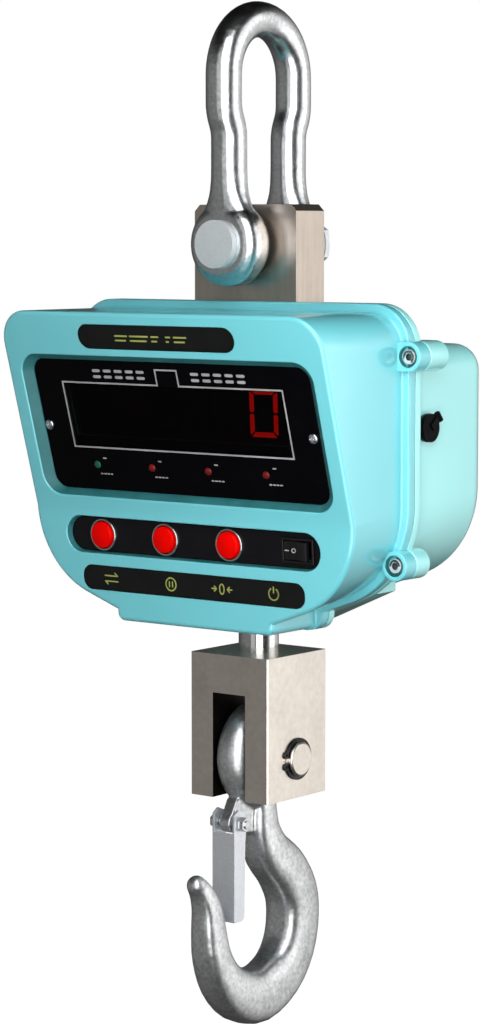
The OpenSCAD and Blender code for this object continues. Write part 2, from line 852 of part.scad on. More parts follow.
module pcb_parts() color("dimgray") {
    translate([40, board_y - 9, -246]) cube([24, 9, 8]);
    translate([40, board_y - 9, -292]) cube([24, 9, 8]);
    translate([72, board_y - 14, -290]) cube([20, 14, 18]);
    translate([50, board_y - 2.4, -272]) cube([14, 2.4, 14]);
    translate([80, board_y - 12, -240]) cube([14, 12, 10]);
}

module pcb_standoffs() color("khaki") {
    for (x = [board_x + 4, board_x + 50], z = [board_z + 13, board_z + board_h - 5])
        y_rod(6, board_y + pcb_t, rear_y - wall, x, z, $fn = 32);
}

module battery() color("slategray") {
    translate([-bat_out, bat_y, bat_z]) cube([bat_w, bat_d, bat_h]);
    for (y = [4, 36])
        translate([-bat_out + 6, y, bat_z + bat_h]) cube([5, 8, 6]);
}

module battery_tray() color("silver") {
    translate([-bat_out - 2, bat_y, bat_z - 2]) cube([bat_w + 4, bat_d + 2, 2]);
    translate([-bat_out + 4, bat_y + bat_d + 0.3, bat_z]) cube([bat_w - 8, 1.7, 80]);
    for (x = [10, bat_w - 10], z = [30, 70])
        y_rod(8, bat_y + bat_d + 1.8, rear_y - wall, x - bat_out, bat_z + z);
}

module battery_strap() color("silver") {
    difference() {
        translate([-bat_out - 1.2, bat_y - 1.2, bat_z + 40]) cube([bat_w + 2.4, bat_d, 14]);
        translate([-bat_out, bat_y, bat_z + 39]) cube([bat_w, bat_d + 2, 16]);
    }
}

module battery_leads() color("firebrick") {
    wire([[-95.5, 40, -195], [-95.5, 40, -193.2], [-60, 44, -196], [0, 52, -204],
        [45, 40, -222], [45, 40, -243], [45, 45.4, -243]], 2.4);
    wire([[-95.5, 8, -195], [-95.5, 8, -193.2], [-58, 30, -198], [0, 46, -208],
        [52, 34, -226], [52, 34, -242], [52, 45.4, -242]], 2.4);
}

module signal_cable() color("gray") {
    wire([[mid_hw - 6, 0, gauge_z], [mid_hw + 8, 0, gauge_z], [mid_hw + 14, 12, gauge_z - 8],
        [44, 34, -272], [48, 36, -288], [48, 45.2, -288]], 3.6);
}

// ---------- charging point ----------

socket_y = 4;
socket_z = -233;
cap_dir = 40;                     // the cap's tab rises at this angle towards the rear
cap_reach = 9.8;
cap_t = 2.8;
cap_r = 1.9;                      // the rounded end of the tab, where it turns

module charging_socket() color("gray") {
    difference() {
        union() {
            x_rod(12, rear_hw - 22, rear_hw + 0.5, socket_y, socket_z);
            x_rod(16.4, rear_hw, rear_hw + 1.6, socket_y, socket_z);
        }
        x_rod(9, rear_hw - 8, rear_hw + 6, socket_y, socket_z);
    }
    x_rod(2.4, rear_hw - 9, rear_hw - 3.4, socket_y, socket_z);
}

module charging_cap() color([0.08, 0.08, 0.08]) {
    x0 = rear_hw + 1.9;
    x_rod(17, x0, x0 + cap_t, socket_y, socket_z);
    x_rod(7.6, x0 - 2.2, x0, socket_y, socket_z);
    translate([x0 + 0.8, socket_y, socket_z])
        rotate([cap_dir, 0, 0]) {
            translate([0, 0, -2.2]) cube([3, cap_reach, 4.4]);
            translate([cap_r, cap_reach, -2.8]) cylinder(r = cap_r, h = 5.6, $fn = 32);
        }
}

// ---------- swivel ----------

module hook_rod() color("gainsboro") {
    difference() {
        union() {
            translate([0, 0, block_top - 20]) cylinder(d = rod_d, h = seat_z + bearing_h - block_top
                + 20);
            translate([0, 0, seat_z + bearing_h - e]) cylinder(d = 24, h = 26);
        }
        y_rod(4.4, -20, 20, 0, split_pin_z);
    }
}

module rod_nut() color("silver") {
    translate([0, 0, seat_z + bearing_h]) difference() {
        cylinder(d = 41.5, h = rod_nut_h, $fn = 6);
        translate([0, 0, -1]) cylinder(d = 24.1, h = rod_nut_h + 2);
    }
}

module rod_nut_pin() color("lightgray") {
    translate([0, 13.5, split_pin_z]) rotate([90, 0, 0]) split_pin(29.8, 4, 6);
}

module race(z, bore) {
    translate([0, 0, z]) difference() {
        cylinder(r = 21, h = race_t);
        translate([0, 0, -1]) cylinder(d = bore, h = race_t + 2);
    }
}

module upper_race() color("silver") { race(seat_z + bearing_h - race_t, rod_d + 0.1); }
module lower_race() color("silver") { race(seat_z, rod_d + 1); }

module bearing_balls() color("white") {
    for (i = [0:13]) rotate(i * 360 / 14)
        translate([ball_ring, 0, ball_z]) sphere(r = ball_r, $fn = 32);
}

module bearing_cage() color("gold") {
    difference() {
        translate([0, 0, ball_z - 0.8]) cylinder(r = 20.4, h = 1.6);
        translate([0, 0, ball_z - 2]) cylinder(r = 13.6, h = 4);
        for (i = [0:13]) rotate(i * 360 / 14)
            translate([ball_ring, 0, ball_z - 2]) cylinder(r = ball_r + 0.15, h = 4);
    }
}

// ---------- hook block ----------

module hook_block() color("silver") {
    difference() {
        translate([0, 0, block_bottom]) intersection() {
            translate([-block_w / 2, -block_w / 2, 0]) cube([block_w, block_w, block_h]);
            rotate(45) translate([-41.9, -41.9, 0]) cube([83.8, 83.8, block_h]);
        }
        translate([-slot_w / 2, -block_w, block_bottom - 1])
            cube([slot_w, 2 * block_w, slot_top - block_bottom + 1]);
        x_rod(hook_pin_d + 0.1, -block_w, block_w, 0, hook_pin_z);
        translate([0, 0, block_top - 20]) cylinder(d = rod_d + 0.1, h = 30);
        y_rod(6.1, 10, 40, 0, block_top - 10);
    }
}

module rod_lock_screw() color("dimgray") {
    difference() {
        y_rod(6, rod_r, block_w / 2 - 1, 0, block_top - 10);
        y_rod(3.4, block_w / 2 - 4, block_w / 2 + 1, 0, block_top - 10, $fn = 6);
    }
}

clip_x = block_w / 2 + 0.1;

module hook_pin() color("gainsboro") {
    rotate([0, 90, 0])
        translate([-hook_pin_z, 0, -block_w / 2 - pin_over])
            rotate_extrude()
                polygon([[0, 0], [hook_pin_r - 1, 0], [hook_pin_r, 1], [hook_pin_r, pin_over - 1.5],
                    [hook_pin_r - 0.8, pin_over - 1.5], [hook_pin_r - 0.8, pin_over - 0.1],
                    [hook_pin_r, pin_over - 0.1],
                    [hook_pin_r, block_w + pin_over + 0.1],
                    [hook_pin_r - 0.8, block_w + pin_over + 0.1],
                    [hook_pin_r - 0.8, block_w + pin_over + 1.5],
                    [hook_pin_r, block_w + pin_over + 1.5],
                    [hook_pin_r, block_w + 2 * pin_over - 1],
                    [hook_pin_r - 1, block_w + 2 * pin_over], [0, block_w + 2 * pin_over]]);
}

module hook_pin_clips() color([0.15, 0.14, 0.13]) {
    for (s = [0, 1]) mirror([s, 0, 0])
        difference() {
            union() {
                x_rod(26, clip_x, clip_x + 1.2, 0, hook_pin_z);
                for (z = [-3.6, 3.6])
                    x_rod(4.6, clip_x, clip_x + 1.2, -12, hook_pin_z + z);
            }
            x_rod(hook_pin_d - 1.4, clip_x - 1, clip_x + 3, 0, hook_pin_z);
            translate([clip_x - 1, -20, hook_pin_z - 1.6]) cube([4, 14, 3.2]);
            for (z = [-3.7, 3.7])
                x_rod(1.8, clip_x - 1, clip_x + 3, -12.4, hook_pin_z + z, $fn = 24);
        }
}

// ---------- hook ----------

// stations down the hook: x, y, z, half depth in its plane, half thickness across it
hook_stations = [
    [0, 0, -464, 9, 9], [0, 0, -478, 10.6, 10.4], [0, 1.5, -490, 12, 11],
    [0, 8.5, -504, 14.5, 12.2], [0, 22.5, -517, 16.2, 13.2], [0, 33, -533, 16.8, 13.8],
    [0, 35.4, -550, 17, 13.8], [0, 31, -569, 17.2, 13.6], [0, 18.5, -584.5, 17.8, 13.2],
    [0, -2, -593, 18, 13], [0, -22, -589.5, 16.6, 12.6], [0, -38, -577.5, 13.6, 11.6],
    [0, -47, -561, 11.5, 10.5], [0, -50, -544.5, 10.3, 9.5], [0, -52, -530, 8.7, 8.3],
    [0, -56.8, -519.6, 7, 6.8], [0, -61.8, -513.6, 5.8, 5.6]];
// below 1 the section is squarer than an ellipse
hook_square = 0.66;

module hook_body() {
    tip = hook_stations[len(hook_stations) - 1];
    sweep(smooth(hook_stations, 3), [1, 0, 0], 24, hook_square);
    translate(place(tip)) sphere(r = tip[3] + 0.4, $fn = 32);
}

module hook() color("silver") {
    difference() {
        union() {
            translate([0, 0, hook_pin_z])
                rotate([0, 90, 0])
                    rotate_extrude() translate([eye_ring_r, 0]) circle(r = eye_bar_r);
            hook_body();
            // lug that carries the latch
            translate([-4.2, 0, 0]) rotate([90, 0, 90]) linear_extrude(8.4)
                polygon(concat([[-2, -466], [-16, -462], [-27, -466]],
                    arc(latch_pivot[0], latch_pivot[1], 6.2, 120, 300, 8), [[-2, -492]]));
        }
        x_rod(5.7, -20, 20, latch_pivot[0], latch_pivot[1]);
    }
}

// the latch is a pressed channel: a web in front and two cheeks
module latch() color("gainsboro") {
    py = latch_pivot[0];
    pz = latch_pivot[1];
    difference() {
        translate([-latch_w / 2, 0, 0]) rotate([90, 0, 90]) linear_extrude(latch_w)
            polygon([[py - 6.5, pz + 6], [py - 2, pz + 9], [py + 4, pz + 6.5], [py + 6, pz],
                [py + 4.5, pz - 12], [py + 3.5, pz - latch_len + 2], [py + 1.5, pz - latch_len],
                [py - 6.5, pz - latch_len]]);
        translate([-latch_w / 2 + latch_t, 0, 0]) rotate([90, 0, 90])
            linear_extrude(latch_w - 2 * latch_t)
                polygon([[py - 6.5 + latch_t, pz - 5.6], [py - 12, pz - 5], [py - 12, pz + 20],
                    [py + 20, pz + 20], [py + 20, pz - 90], [py - 6.5 + latch_t, pz - 90]]);
        x_rod(5.7, -20, 20, py, pz);
    }
}

module latch_bolt() color("silver") {
    x_rod(5, -latch_w / 2 - 0.4, latch_w / 2 + 5.4, latch_pivot[0], latch_pivot[1], $fn = 32);
    x_rod(9.2, -latch_w / 2 - 3.9, -latch_w / 2 - 0.4, latch_pivot[0], latch_pivot[1], $fn = 6);
}

module latch_nut() color("silver") {
    difference() {
        x_rod(9.2, latch_w / 2 + 0.4, latch_w / 2 + 4.4, latch_pivot[0], latch_pivot[1], $fn = 6);
        x_rod(5.02, latch_w / 2 - 1, latch_w / 2 + 8, latch_pivot[0], latch_pivot[1], $fn = 32);
    }
}

// torsion spring coiled round the bolt beside the lug
module latch_spring() color("gray") {
    for (i = [0:1]) translate([5.2 + i * 1.1, latch_pivot[0], latch_pivot[1]])
        rotate([0, 90, 0]) rotate_extrude($fn = 32) translate([3.7, 0]) circle(d = 0.9, $fn = 16);
    x_rod(0.9, 5.2, 6.3, latch_pivot[0], latch_pivot[1] + 3.7, $fn = 16);
}

shackle_bow();
shackle_pin();
shackle_nut();
shackle_cotter();
load_cell();
strain_gauges();
gauge_covers();
mounting_brackets();
bracket_screws();
front_housing();
rear_housing();
housing_gasket();
housing_screws();
top_seal();
bottom_seal();
display_panel();
panel_screws();
display_pcb();
display_standoffs();
led_digits();
indicator_leds();
top_nameplate();
lower_label();
keypad_plate();
button_bezels();
button_1();
button_2();
button_3();
button_switches();
rocker_frame();
rocker();
rocker_body();
main_pcb();
pcb_parts();
pcb_standoffs();
battery();
battery_tray();
battery_strap();
battery_leads();
signal_cable();
charging_socket();
charging_cap();
hook_rod();
rod_nut();
rod_nut_pin();
upper_race();
bearing_balls();
bearing_cage();
lower_race();
rod_lock_screw();
hook_block();
hook_pin();
hook_pin_clips();
hook();
latch();
latch_bolt();
latch_nut();
latch_spring();
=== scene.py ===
# Looks of the hanging crane scale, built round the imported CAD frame. Shapes are given in
# millimetres and scaled in Frame.at; the camera, the lights and the floor are in metres.
import math

import bmesh
import bpy
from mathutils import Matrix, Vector, geometry, noise


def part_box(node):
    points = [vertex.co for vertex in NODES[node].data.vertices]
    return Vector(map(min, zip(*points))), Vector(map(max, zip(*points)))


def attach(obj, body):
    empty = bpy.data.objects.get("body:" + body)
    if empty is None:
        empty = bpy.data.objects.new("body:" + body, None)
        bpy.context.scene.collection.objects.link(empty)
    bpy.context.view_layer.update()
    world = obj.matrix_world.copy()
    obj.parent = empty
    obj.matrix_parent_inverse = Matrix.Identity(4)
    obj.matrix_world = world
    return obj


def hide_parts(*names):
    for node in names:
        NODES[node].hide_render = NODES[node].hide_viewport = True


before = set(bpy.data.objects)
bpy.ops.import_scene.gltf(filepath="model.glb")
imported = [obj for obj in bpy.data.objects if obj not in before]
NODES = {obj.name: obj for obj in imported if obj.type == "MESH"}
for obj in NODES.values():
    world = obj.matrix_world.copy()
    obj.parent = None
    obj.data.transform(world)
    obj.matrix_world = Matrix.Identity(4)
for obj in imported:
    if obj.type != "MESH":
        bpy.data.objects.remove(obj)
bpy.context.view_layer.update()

MM = 0.001


def box_mm(node):
    lo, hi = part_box(node)
    return lo / MM, hi / MM


# ---- frames and outlines

BEND_Y, BEND_Z = -69.6, -287.0    # the line where the face bends
TILT_UP, TILT_LOW = math.radians(16.2), math.radians(3.9)


class Frame:
    """Turns local u, v, w into a point of the row frame, in metres."""

    def __init__(self, origin, u, v, w):
        self.o, self.u, self.v, self.w = Vector(origin), Vector(u), Vector(v), Vector(w)

    def at(self, p):
        return (self.o + self.u * p[0] + self.v * p[1] + self.w * p[2]) * MM


def tilted(tilt):
    return Frame((0, BEND_Y, BEND_Z), (1, 0, 0),
                 (0, -math.sin(tilt), math.cos(tilt)), (0, -math.cos(tilt), -math.sin(tilt)))


UPPER = tilted(TILT_UP)
LOWER = tilted(TILT_LOW)
FRONTAL = Frame((0, 0, 0), (1, 0, 0), (0, 0, 1), (0, 1, 0))     # u = X, v = Z, w = Y
LEVEL = Frame((0, 0, 0), (1, 0, 0), (0, 1, 0), (0, 0, 1))


def arc(cx, cy, r, a0, a1, n):
    return [(cx + r * math.cos(math.radians(a0 + (a1 - a0) * i / n)),
             cy + r * math.sin(math.radians(a0 + (a1 - a0) * i / n))) for i in range(n + 1)]


def mirrored(half):
    return half + [(-x, y) for x, y in reversed(half)]


def rounded(hw, y0, y1, r, n=8):
    """A rectangle with round corners, anticlockwise."""
    pts = []
    for cx, cy, a in ((hw - r, y0 + r, -90), (hw - r, y1 - r, 0),
                      (-hw + r, y1 - r, 90), (-hw + r, y0 + r, 180)):
        pts += arc(cx, cy, r, a, a + 90, n)
    return pts


def stadium(w, h, cy=0.0, n=14):
    r, s = h / 2, (w - h) / 2
    return arc(s, cy, r, -90, 90, n) + arc(-s, cy, r, 90, 270, n)


def circle(r, cx=0.0, cy=0.0, n=48):
    return arc(cx, cy, r, 0, 360 - 360 / n, n - 1)


def panel_shape(hw, y0, y1, r, n=8):
    """A rounded rectangle as a function of o, how far it is moved outwards."""
    return lambda o: rounded(hw + o, y0 - o, y1 + o, r + o, n)


def slot_shape(w, h, cy):
    return lambda o: stadium(w + 2 * o, h + 2 * o, cy)


def disc_shape(r, cx, cy, n):
    return lambda o: circle(r + o, cx, cy, n)


def shifted(loop, dx, dy):
    return [(x + dx, y + dy) for x, y in loop]


def quarter(n):
    return [math.radians(90 * i / n) for i in range(n + 1)]


def fillet(n):
    """Steps round a quarter circle of radius 1: how far in from its start, how far to go."""
    return [(1 - math.cos(a), 1 - math.sin(a)) for a in quarter(n)]


def lift(loop, w):
    return [(u, v, w(u, v) if callable(w) else w) for u, v in loop]


# ---- mesh building

def ring(bm, loop, fr):
    return [bm.verts.new(fr.at(p)) for p in loop]


def bridge(bm, a, b):
    n = len(a)
    for i in range(n):
        bm.faces.new((a[i], a[(i + 1) % n], b[(i + 1) % n], b[i]))


def skin(bm, loops, fr):
    """Rings of points joined by quads; returns the rings of vertices."""
    rings = [ring(bm, loop, fr) for loop in loops]
    for a, b in zip(rings, rings[1:]):
        bridge(bm, a, b)
    return rings


def inside(p, poly):
    hit = False
    for (x0, y0), (x1, y1) in zip(poly, poly[1:] + poly[:1]):
        if (y0 > p[1]) != (y1 > p[1]) and p[0] < (x1 - x0) * (p[1] - y0) / (y1 - y0) + x0:
            hit = not hit
    return hit


def fill(bm, rings, creases=()):
    """Fills between an outer ring and holes, seen along Y. creases are pairs of vertices
    that an edge has to join."""
    flat, verts, edges, polys = [], [], [], []
    for loop in rings:
        start = len(verts)
        poly = [(v.co.x, v.co.z) for v in loop]
        polys.append(poly)
        flat += poly
        verts += loop
        edges += [(start + i, start + (i + 1) % len(loop)) for i in range(len(loop))]
    place = {v: i for i, v in enumerate(verts)}
    edges += [(place[a], place[b]) for a, b in creases]
    scale = 1 / MM
    found = geometry.delaunay_2d_cdt([Vector(p) * scale for p in flat], edges, [], 0, 1e-5)
    points, tris, origin = found[0], found[2], found[3]
    for tri in tris:
        c = sum((points[i] for i in tri), Vector((0, 0))) / len(tri) * MM
        if not inside(c, polys[0]) or any(inside(c, h) for h in polys[1:]):
            continue
        bm.faces.new([verts[origin[i][0]] for i in tri])


def cap(bm, loop):
    bm.faces.new(loop)


def solid(bm, loops, fr):
    """A closed solid from rings, capped at both ends."""
    rings = skin(bm, loops, fr)
    cap(bm, rings[0])
    cap(bm, rings[-1])


def lathe(bm, profile, fr, n):
    """profile is a list of (radius, w); a radius of 0 closes an end in a point."""
    rings = []
    for r, w in profile:
        rings.append([bm.verts.new(fr.at((0, 0, w)))] if r == 0
                     else ring(bm, lift(circle(r, n=n), w), fr))
    for a, b in zip(rings, rings[1:]):
        if len(a) == len(b):
            bridge(bm, a, b)
        else:
            tip, loop = (a[0], b) if len(a) == 1 else (b[0], a)
            for i in range(len(loop)):
                bm.faces.new((tip, loop[i], loop[(i + 1) % len(loop)]))


# The faces round these rings get the second material; the shells use it for painted shade in
# hollows.
def second_material(rings):
    for loop in rings:
        for v in loop:
            for f in v.link_faces:
                f.material_index = 1


def moved(fr, u=0.0, v=0.0, w=0.0):
    return Frame(fr.o + fr.u * u + fr.v * v + fr.w * w, fr.u, fr.v, fr.w)


SHARP_ANGLE = 35.0                # degrees; a shallower edge is shaded smooth
SHELL_SHARP, FORGED_SHARP = 38.0, 80.0


def finish_mesh(bm, name, materials, sharp=SHARP_ANGLE):
    bmesh.ops.recalc_face_normals(bm, faces=bm.faces)
    mesh = bpy.data.meshes.new(name)
    bm.to_mesh(mesh)
    bm.free()
    for m in materials:
        mesh.materials.append(m)
    mesh.shade_smooth()
    mesh.set_sharp_from_angle(angle=math.radians(sharp))
    obj = bpy.data.objects.new(name, mesh)
    bpy.context.scene.collection.objects.link(obj)
    return obj


def piece(bm, name, material, body, nodes, sharp=SHARP_ANGLE):
    materials = material if isinstance(material, list) else [material]
    obj = finish_mesh(bm, name, materials, sharp)
    flat = obj.modifiers.new("flat faces", "WEIGHTED_NORMAL")
    flat.keep_sharp = True
    flat.weight = 80
    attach(obj, body)
    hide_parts(*nodes)
    return obj


def evaluated(obj):
    """The object's mesh with its modifiers applied."""
    bpy.context.view_layer.update()
    graph = bpy.context.evaluated_depsgraph_get()
    return bpy.data.meshes.new_from_object(obj.evaluated_get(graph))


def boolean(obj, build, operation):
    """Joins to obj, or cuts from it, the solid that build(bm) makes."""
    bm = bmesh.new()
    build(bm)
    cutter = finish_mesh(bm, "scratch", [])
    m = obj.modifiers.new("cut", "BOOLEAN")
    m.operation = operation
    m.solver = "EXACT"
    m.object = cutter
    got = evaluated(obj)
    obj.modifiers.clear()
    old = obj.data
    obj.data = got
    bpy.data.meshes.remove(old)
    bpy.data.objects.remove(cutter)


def reopened(obj):
    """The mesh of a scratch object as a bmesh; the object is removed."""
    bm = bmesh.new()
    bm.from_mesh(obj.data)
    bpy.data.objects.remove(obj)
    return bm


def darken(obj, chosen):
    """Gives the second material, a painted shade, to the faces that chosen(centre in mm, normal)
    picks.
    """
    for f in obj.data.polygons:
        if chosen(f.center / MM, f.normal):
            f.material_index = 1


WELD = 3e-6                       # metres
FLAT_ANGLE, EDGE_ANGLE = math.radians(0.4), math.radians(30)


def softened(node, width, material, body, segments=2):
    """A copy of a CAD node with its edges broken by a small round."""
    bm = bmesh.new()
    bm.from_mesh(NODES[node].data)
    bmesh.ops.remove_doubles(bm, verts=bm.verts, dist=WELD)
    bmesh.ops.dissolve_limit(bm, angle_limit=FLAT_ANGLE, verts=bm.verts, edges=bm.edges)
    edges = [e for e in bm.edges if len(e.link_faces) == 2 and e.calc_face_angle(0) > EDGE_ANGLE]
    bmesh.ops.bevel(bm, geom=edges, offset=width * MM, offset_type="OFFSET", segments=segments,
                    profile=0.5, affect="EDGES", clamp_overlap=True)
    return piece(bm, node + "_soft", material, body, [node])


FORGE_VOXEL, FORGE_GRAIN = 1.0, 0.1    # mm


def forged(node, material, body):
    """A copy of a CAD node as a forging: one skin with soft joins and a faint uneven surface."""
    src = bpy.data.objects.new("scratch", NODES[node].data.copy())
    bpy.context.scene.collection.objects.link(src)
    m = src.modifiers.new("skin", "REMESH")
    m.mode = "VOXEL"
    m.voxel_size = FORGE_VOXEL * MM
    m = src.modifiers.new("ease", "SMOOTH")
    m.factor = 0.5
    m.iterations = 6
    m = src.modifiers.new("flow", "LAPLACIANSMOOTH")
    m.lambda_factor = 6
    m.iterations = 3
    m.use_volume_preserve = True
    bm = bmesh.new()
    bm.from_mesh(evaluated(src))
    bpy.data.objects.remove(src)
    bm.normal_update()
    moves = []
    for v in bm.verts:
        p = v.co / MM
        d = noise.noise(p * 0.09) * 0.6 + noise.noise(p * 0.31) * 0.4
        moves.append(v.normal * (d * FORGE_GRAIN * MM))
    for v, d in zip(bm.verts, moves):
        v.co += d
    piece(bm, node + "_forged", material, body, [node], FORGED_SHARP)


# ---- materials

def srgb(*rgb):
    """A colour from its 8-bit values."""
    linear = [c / 255 / 12.92 if c / 255 <= 0.04045 else ((c / 255 + 0.055) / 1.055) ** 2.4
              for c in rgb]
    return (*linear, 1)


class Tree:
    """Shader nodes, made and joined in one call each. Values are sockets or constants."""

    def __init__(self, tree):
        self.nodes, self.links = tree.nodes, tree.links

    def join(self, value, socket):
        if isinstance(value, bpy.types.NodeSocket):
            self.links.new(value, socket)
        else:
            socket.default_value = value

    def node(self, kind, **inputs):
        n = self.nodes.new("ShaderNode" + kind)
        for key, value in inputs.items():
            self.join(value, n.inputs[key.replace("_", " ")])
        return n

    def math(self, op, *values):
        n = self.nodes.new("ShaderNodeMath")
        n.operation = op
        for value, socket in zip(values, n.inputs):
            self.join(value, socket)
        return n.outputs[0]

    def ramp(self, fac, *stops):
        """Each stop is a place and a colour."""
        n = self.node("ValToRGB", Fac=fac)
        el = n.color_ramp.elements
        while len(el) < len(stops):
            el.new(0.5)
        for e, (at, color) in zip(el, stops):
            e.position = at
            e.color = color
        return n.outputs["Color"]

    def span(self, fac, low, high, a=0.3, b=0.7):
        return self.node("MapRange", Value=fac, From_Min=a, From_Max=b, To_Min=low,
                         To_Max=high).outputs["Result"]


class Paint(Tree):
    """A node material built round one Principled shader."""

    def __init__(self, name, **sockets):
        self.m = bpy.data.materials.new(name)
        self.m.use_nodes = True
        super().__init__(self.m.node_tree)
        self.b = self.nodes["Principled BSDF"]
        for key, value in sockets.items():
            self.drive(key.replace("_", " "), value)
        self.coord = self.nodes.new("ShaderNodeTexCoord").outputs["Object"]

    def stretched(self, *scale):
        return self.node("Mapping", Vector=self.coord, Scale=scale).outputs["Vector"]

    def noise(self, scale, detail=3.0, rough=0.55, vector=None):
        return self.node("TexNoise", Vector=vector or self.coord, Scale=scale, Detail=detail,
                         Roughness=rough).outputs["Fac"]

    def cells(self, scale):
        return self.node("TexVoronoi", Vector=self.coord, Scale=scale).outputs["Distance"]

    def blend(self, fac, one, two):
        n = self.nodes.new("ShaderNodeMix")
        n.data_type = "RGBA"
        for value, socket in ((fac, n.inputs[0]), (one, n.inputs[6]), (two, n.inputs[7])):
            self.join(value, socket)
        return n.outputs[2]

    def drive(self, socket, value):
        self.join(value, self.b.inputs[socket])

    def colour(self, fac, dark, light, a=0.36, b=0.62):
        return self.ramp(fac, (a, srgb(*dark)), (b, srgb(*light)))

    def bump(self, strength, distance_mm, *heights):
        """Bumps laid over each other, all with the same strength."""
        last = None
        for h in heights:
            n = self.node("Bump", Strength=strength, Distance=distance_mm * MM, Height=h)
            if last:
                self.join(last, n.inputs["Normal"])
            last = n.outputs["Normal"]
        self.drive("Normal", last)
        return self.m


def enamel(name, deep, pale):
    """Glossy powder coat on a casting: orange peel and faint mottling. A roughness that
    varies across 0.274 renders in hard-edged patches, so it keeps above that."""
    p = Paint(name, Coat_Weight=0.9, Coat_Roughness=0.1, Coat_IOR=1.65, IOR=1.6)
    mottle = p.span(p.noise(14, 2), 0, 1, 0.2, 0.8)
    p.drive("Base Color", p.blend(mottle, srgb(*deep), srgb(*pale)))
    p.drive("Roughness", p.span(p.noise(60, 2), 0.285, 0.315))
    return p.bump(0.03, 0.08, p.noise(120, 2), p.noise(420, 1))


PIT_GREY = srgb(120, 122, 126)


def zinc(name, light, dark, rough, grain, scale=1.0, metal=1.0):
    """Bright zinc plate over a forging or a stamping: crystalline cloud and fine pits."""
    p = Paint(name, Metallic=metal)
    grains = p.math("ADD", p.math("MULTIPLY", p.noise(70 * scale, 5, 0.62), 0.4),
                    p.math("MULTIPLY", p.noise(420 * scale, 3), 0.6))
    cloud = p.colour(grains, dark, light)
    pits = p.span(p.cells(620 * scale), 1, 0, 0.0, 0.16)
    p.drive("Base Color", p.blend(p.math("MULTIPLY", pits, 0.3), cloud, PIT_GREY))
    p.drive("Roughness", p.span(p.noise(190 * scale, 4), *rough))
    return p.bump(grain, 0.22, p.noise(300 * scale, 4), p.noise(1100 * scale, 2), pits)


def ground(name, light, dark, rough, along=(1, 1, 1), grain=0.1):
    """Ground or turned metal: fine lines along one direction and a few stains."""
    p = Paint(name, Metallic=1.0)
    lines = p.noise(240, 3, 0.6, p.stretched(*along))
    stains = p.noise(34, 5, 0.6)
    tone = p.math("ADD", p.math("MULTIPLY", lines, 0.45), p.math("MULTIPLY", stains, 0.55))
    p.drive("Base Color", p.colour(tone, dark, light))
    p.drive("Roughness", p.span(tone, rough[1], rough[0], 0.35, 0.65))
    return p.bump(grain, 0.05, lines, p.noise(900, 2))


def moulded(name, base, worn, rough, grain=0.12, scale=700, **sockets):
    """Moulded plastic or rubber with a fine spark-eroded grain."""
    p = Paint(name, **sockets)
    p.drive("Base Color", p.colour(p.noise(60, 4), base, worn, 0.35, 0.75))
    p.drive("Roughness", p.span(p.noise(220, 3), *rough))
    return p.bump(grain, 0.06, p.cells(scale), p.noise(scale * 2, 2))


def glowing(name, color, strength, base):
    p = Paint(name, Emission_Color=srgb(*color), Roughness=0.3)
    p.drive("Base Color", p.colour(p.noise(300, 2), base, color, 0.3, 0.7))
    p.drive("Emission Strength", p.span(p.noise(500, 2), strength * 0.88, strength * 1.1))
    return p.bump(0.05, 0.03, p.noise(900, 1))


def smoked():
    p = Paint("smoked_acrylic", IOR=1.3, Alpha=0.7, Specular_IOR_Level=0.1)
    p.drive("Base Color", p.colour(p.noise(40, 2), (3, 2, 3), (5, 3, 4), 0.3, 0.7))
    p.drive("Roughness", p.span(p.noise(240, 2), 0.03, 0.07))
    return p.bump(0.02, 0.02, p.noise(60, 2))


CYAN = enamel("cyan_enamel", (110, 205, 215), (116, 210, 220))
# The rear shell has the same enamel painted lighter and whiter, as its lit sides look: painted
# light.
CYAN_LIT_REAR = enamel("cyan_enamel_rear_painted_light", (158, 236, 236), (163, 241, 241))
# Darker teal for the walls of the pockets in the face and of the screw counterbores: painted shade
# in these hollows.
RECESS_SHADE = moulded("recess_painted_shade", (44, 108, 112), (58, 126, 130), (0.29, 0.42))
ZINC = zinc("zinc_forging", (226, 228, 230), (198, 201, 204), (0.19, 0.27), 0.2)
ZINC_HOOK = zinc("hook_zinc", (224, 226, 227), (180, 183, 185), (0.28, 0.38), 0.3,
                 metal=0.93)
ZINC_BRIGHT = zinc("bright_zinc", (226, 228, 230), (204, 207, 210), (0.2, 0.27), 0.12,
                   scale=1.6)
ZINC_MATT = zinc("matt_zinc", (244, 247, 249), (236, 239, 242), (0.58, 0.68), 0.05,
                 scale=1.6, metal=0.85)
ZINC_LATCH = zinc("latch_zinc", (230, 234, 239), (218, 222, 228), (0.4, 0.5), 0.05,
                  scale=1.4, metal=0.8)
# Dark grey for the housing screws' sockets: painted shade in the hollow.
SOCKET_SHADE = zinc("socket_painted_shade", (112, 118, 120), (92, 98, 100), (0.4, 0.5), 0.1)
NICKEL = ground("nickel_steel", (206, 194, 183), (190, 178, 167), (0.28, 0.36),
                (1, 1, 0.06), 0.03)
NICKEL_BLOCK = ground("nickel_block", (232, 224, 215), (214, 206, 197), (0.28, 0.36),
                      grain=0.05)
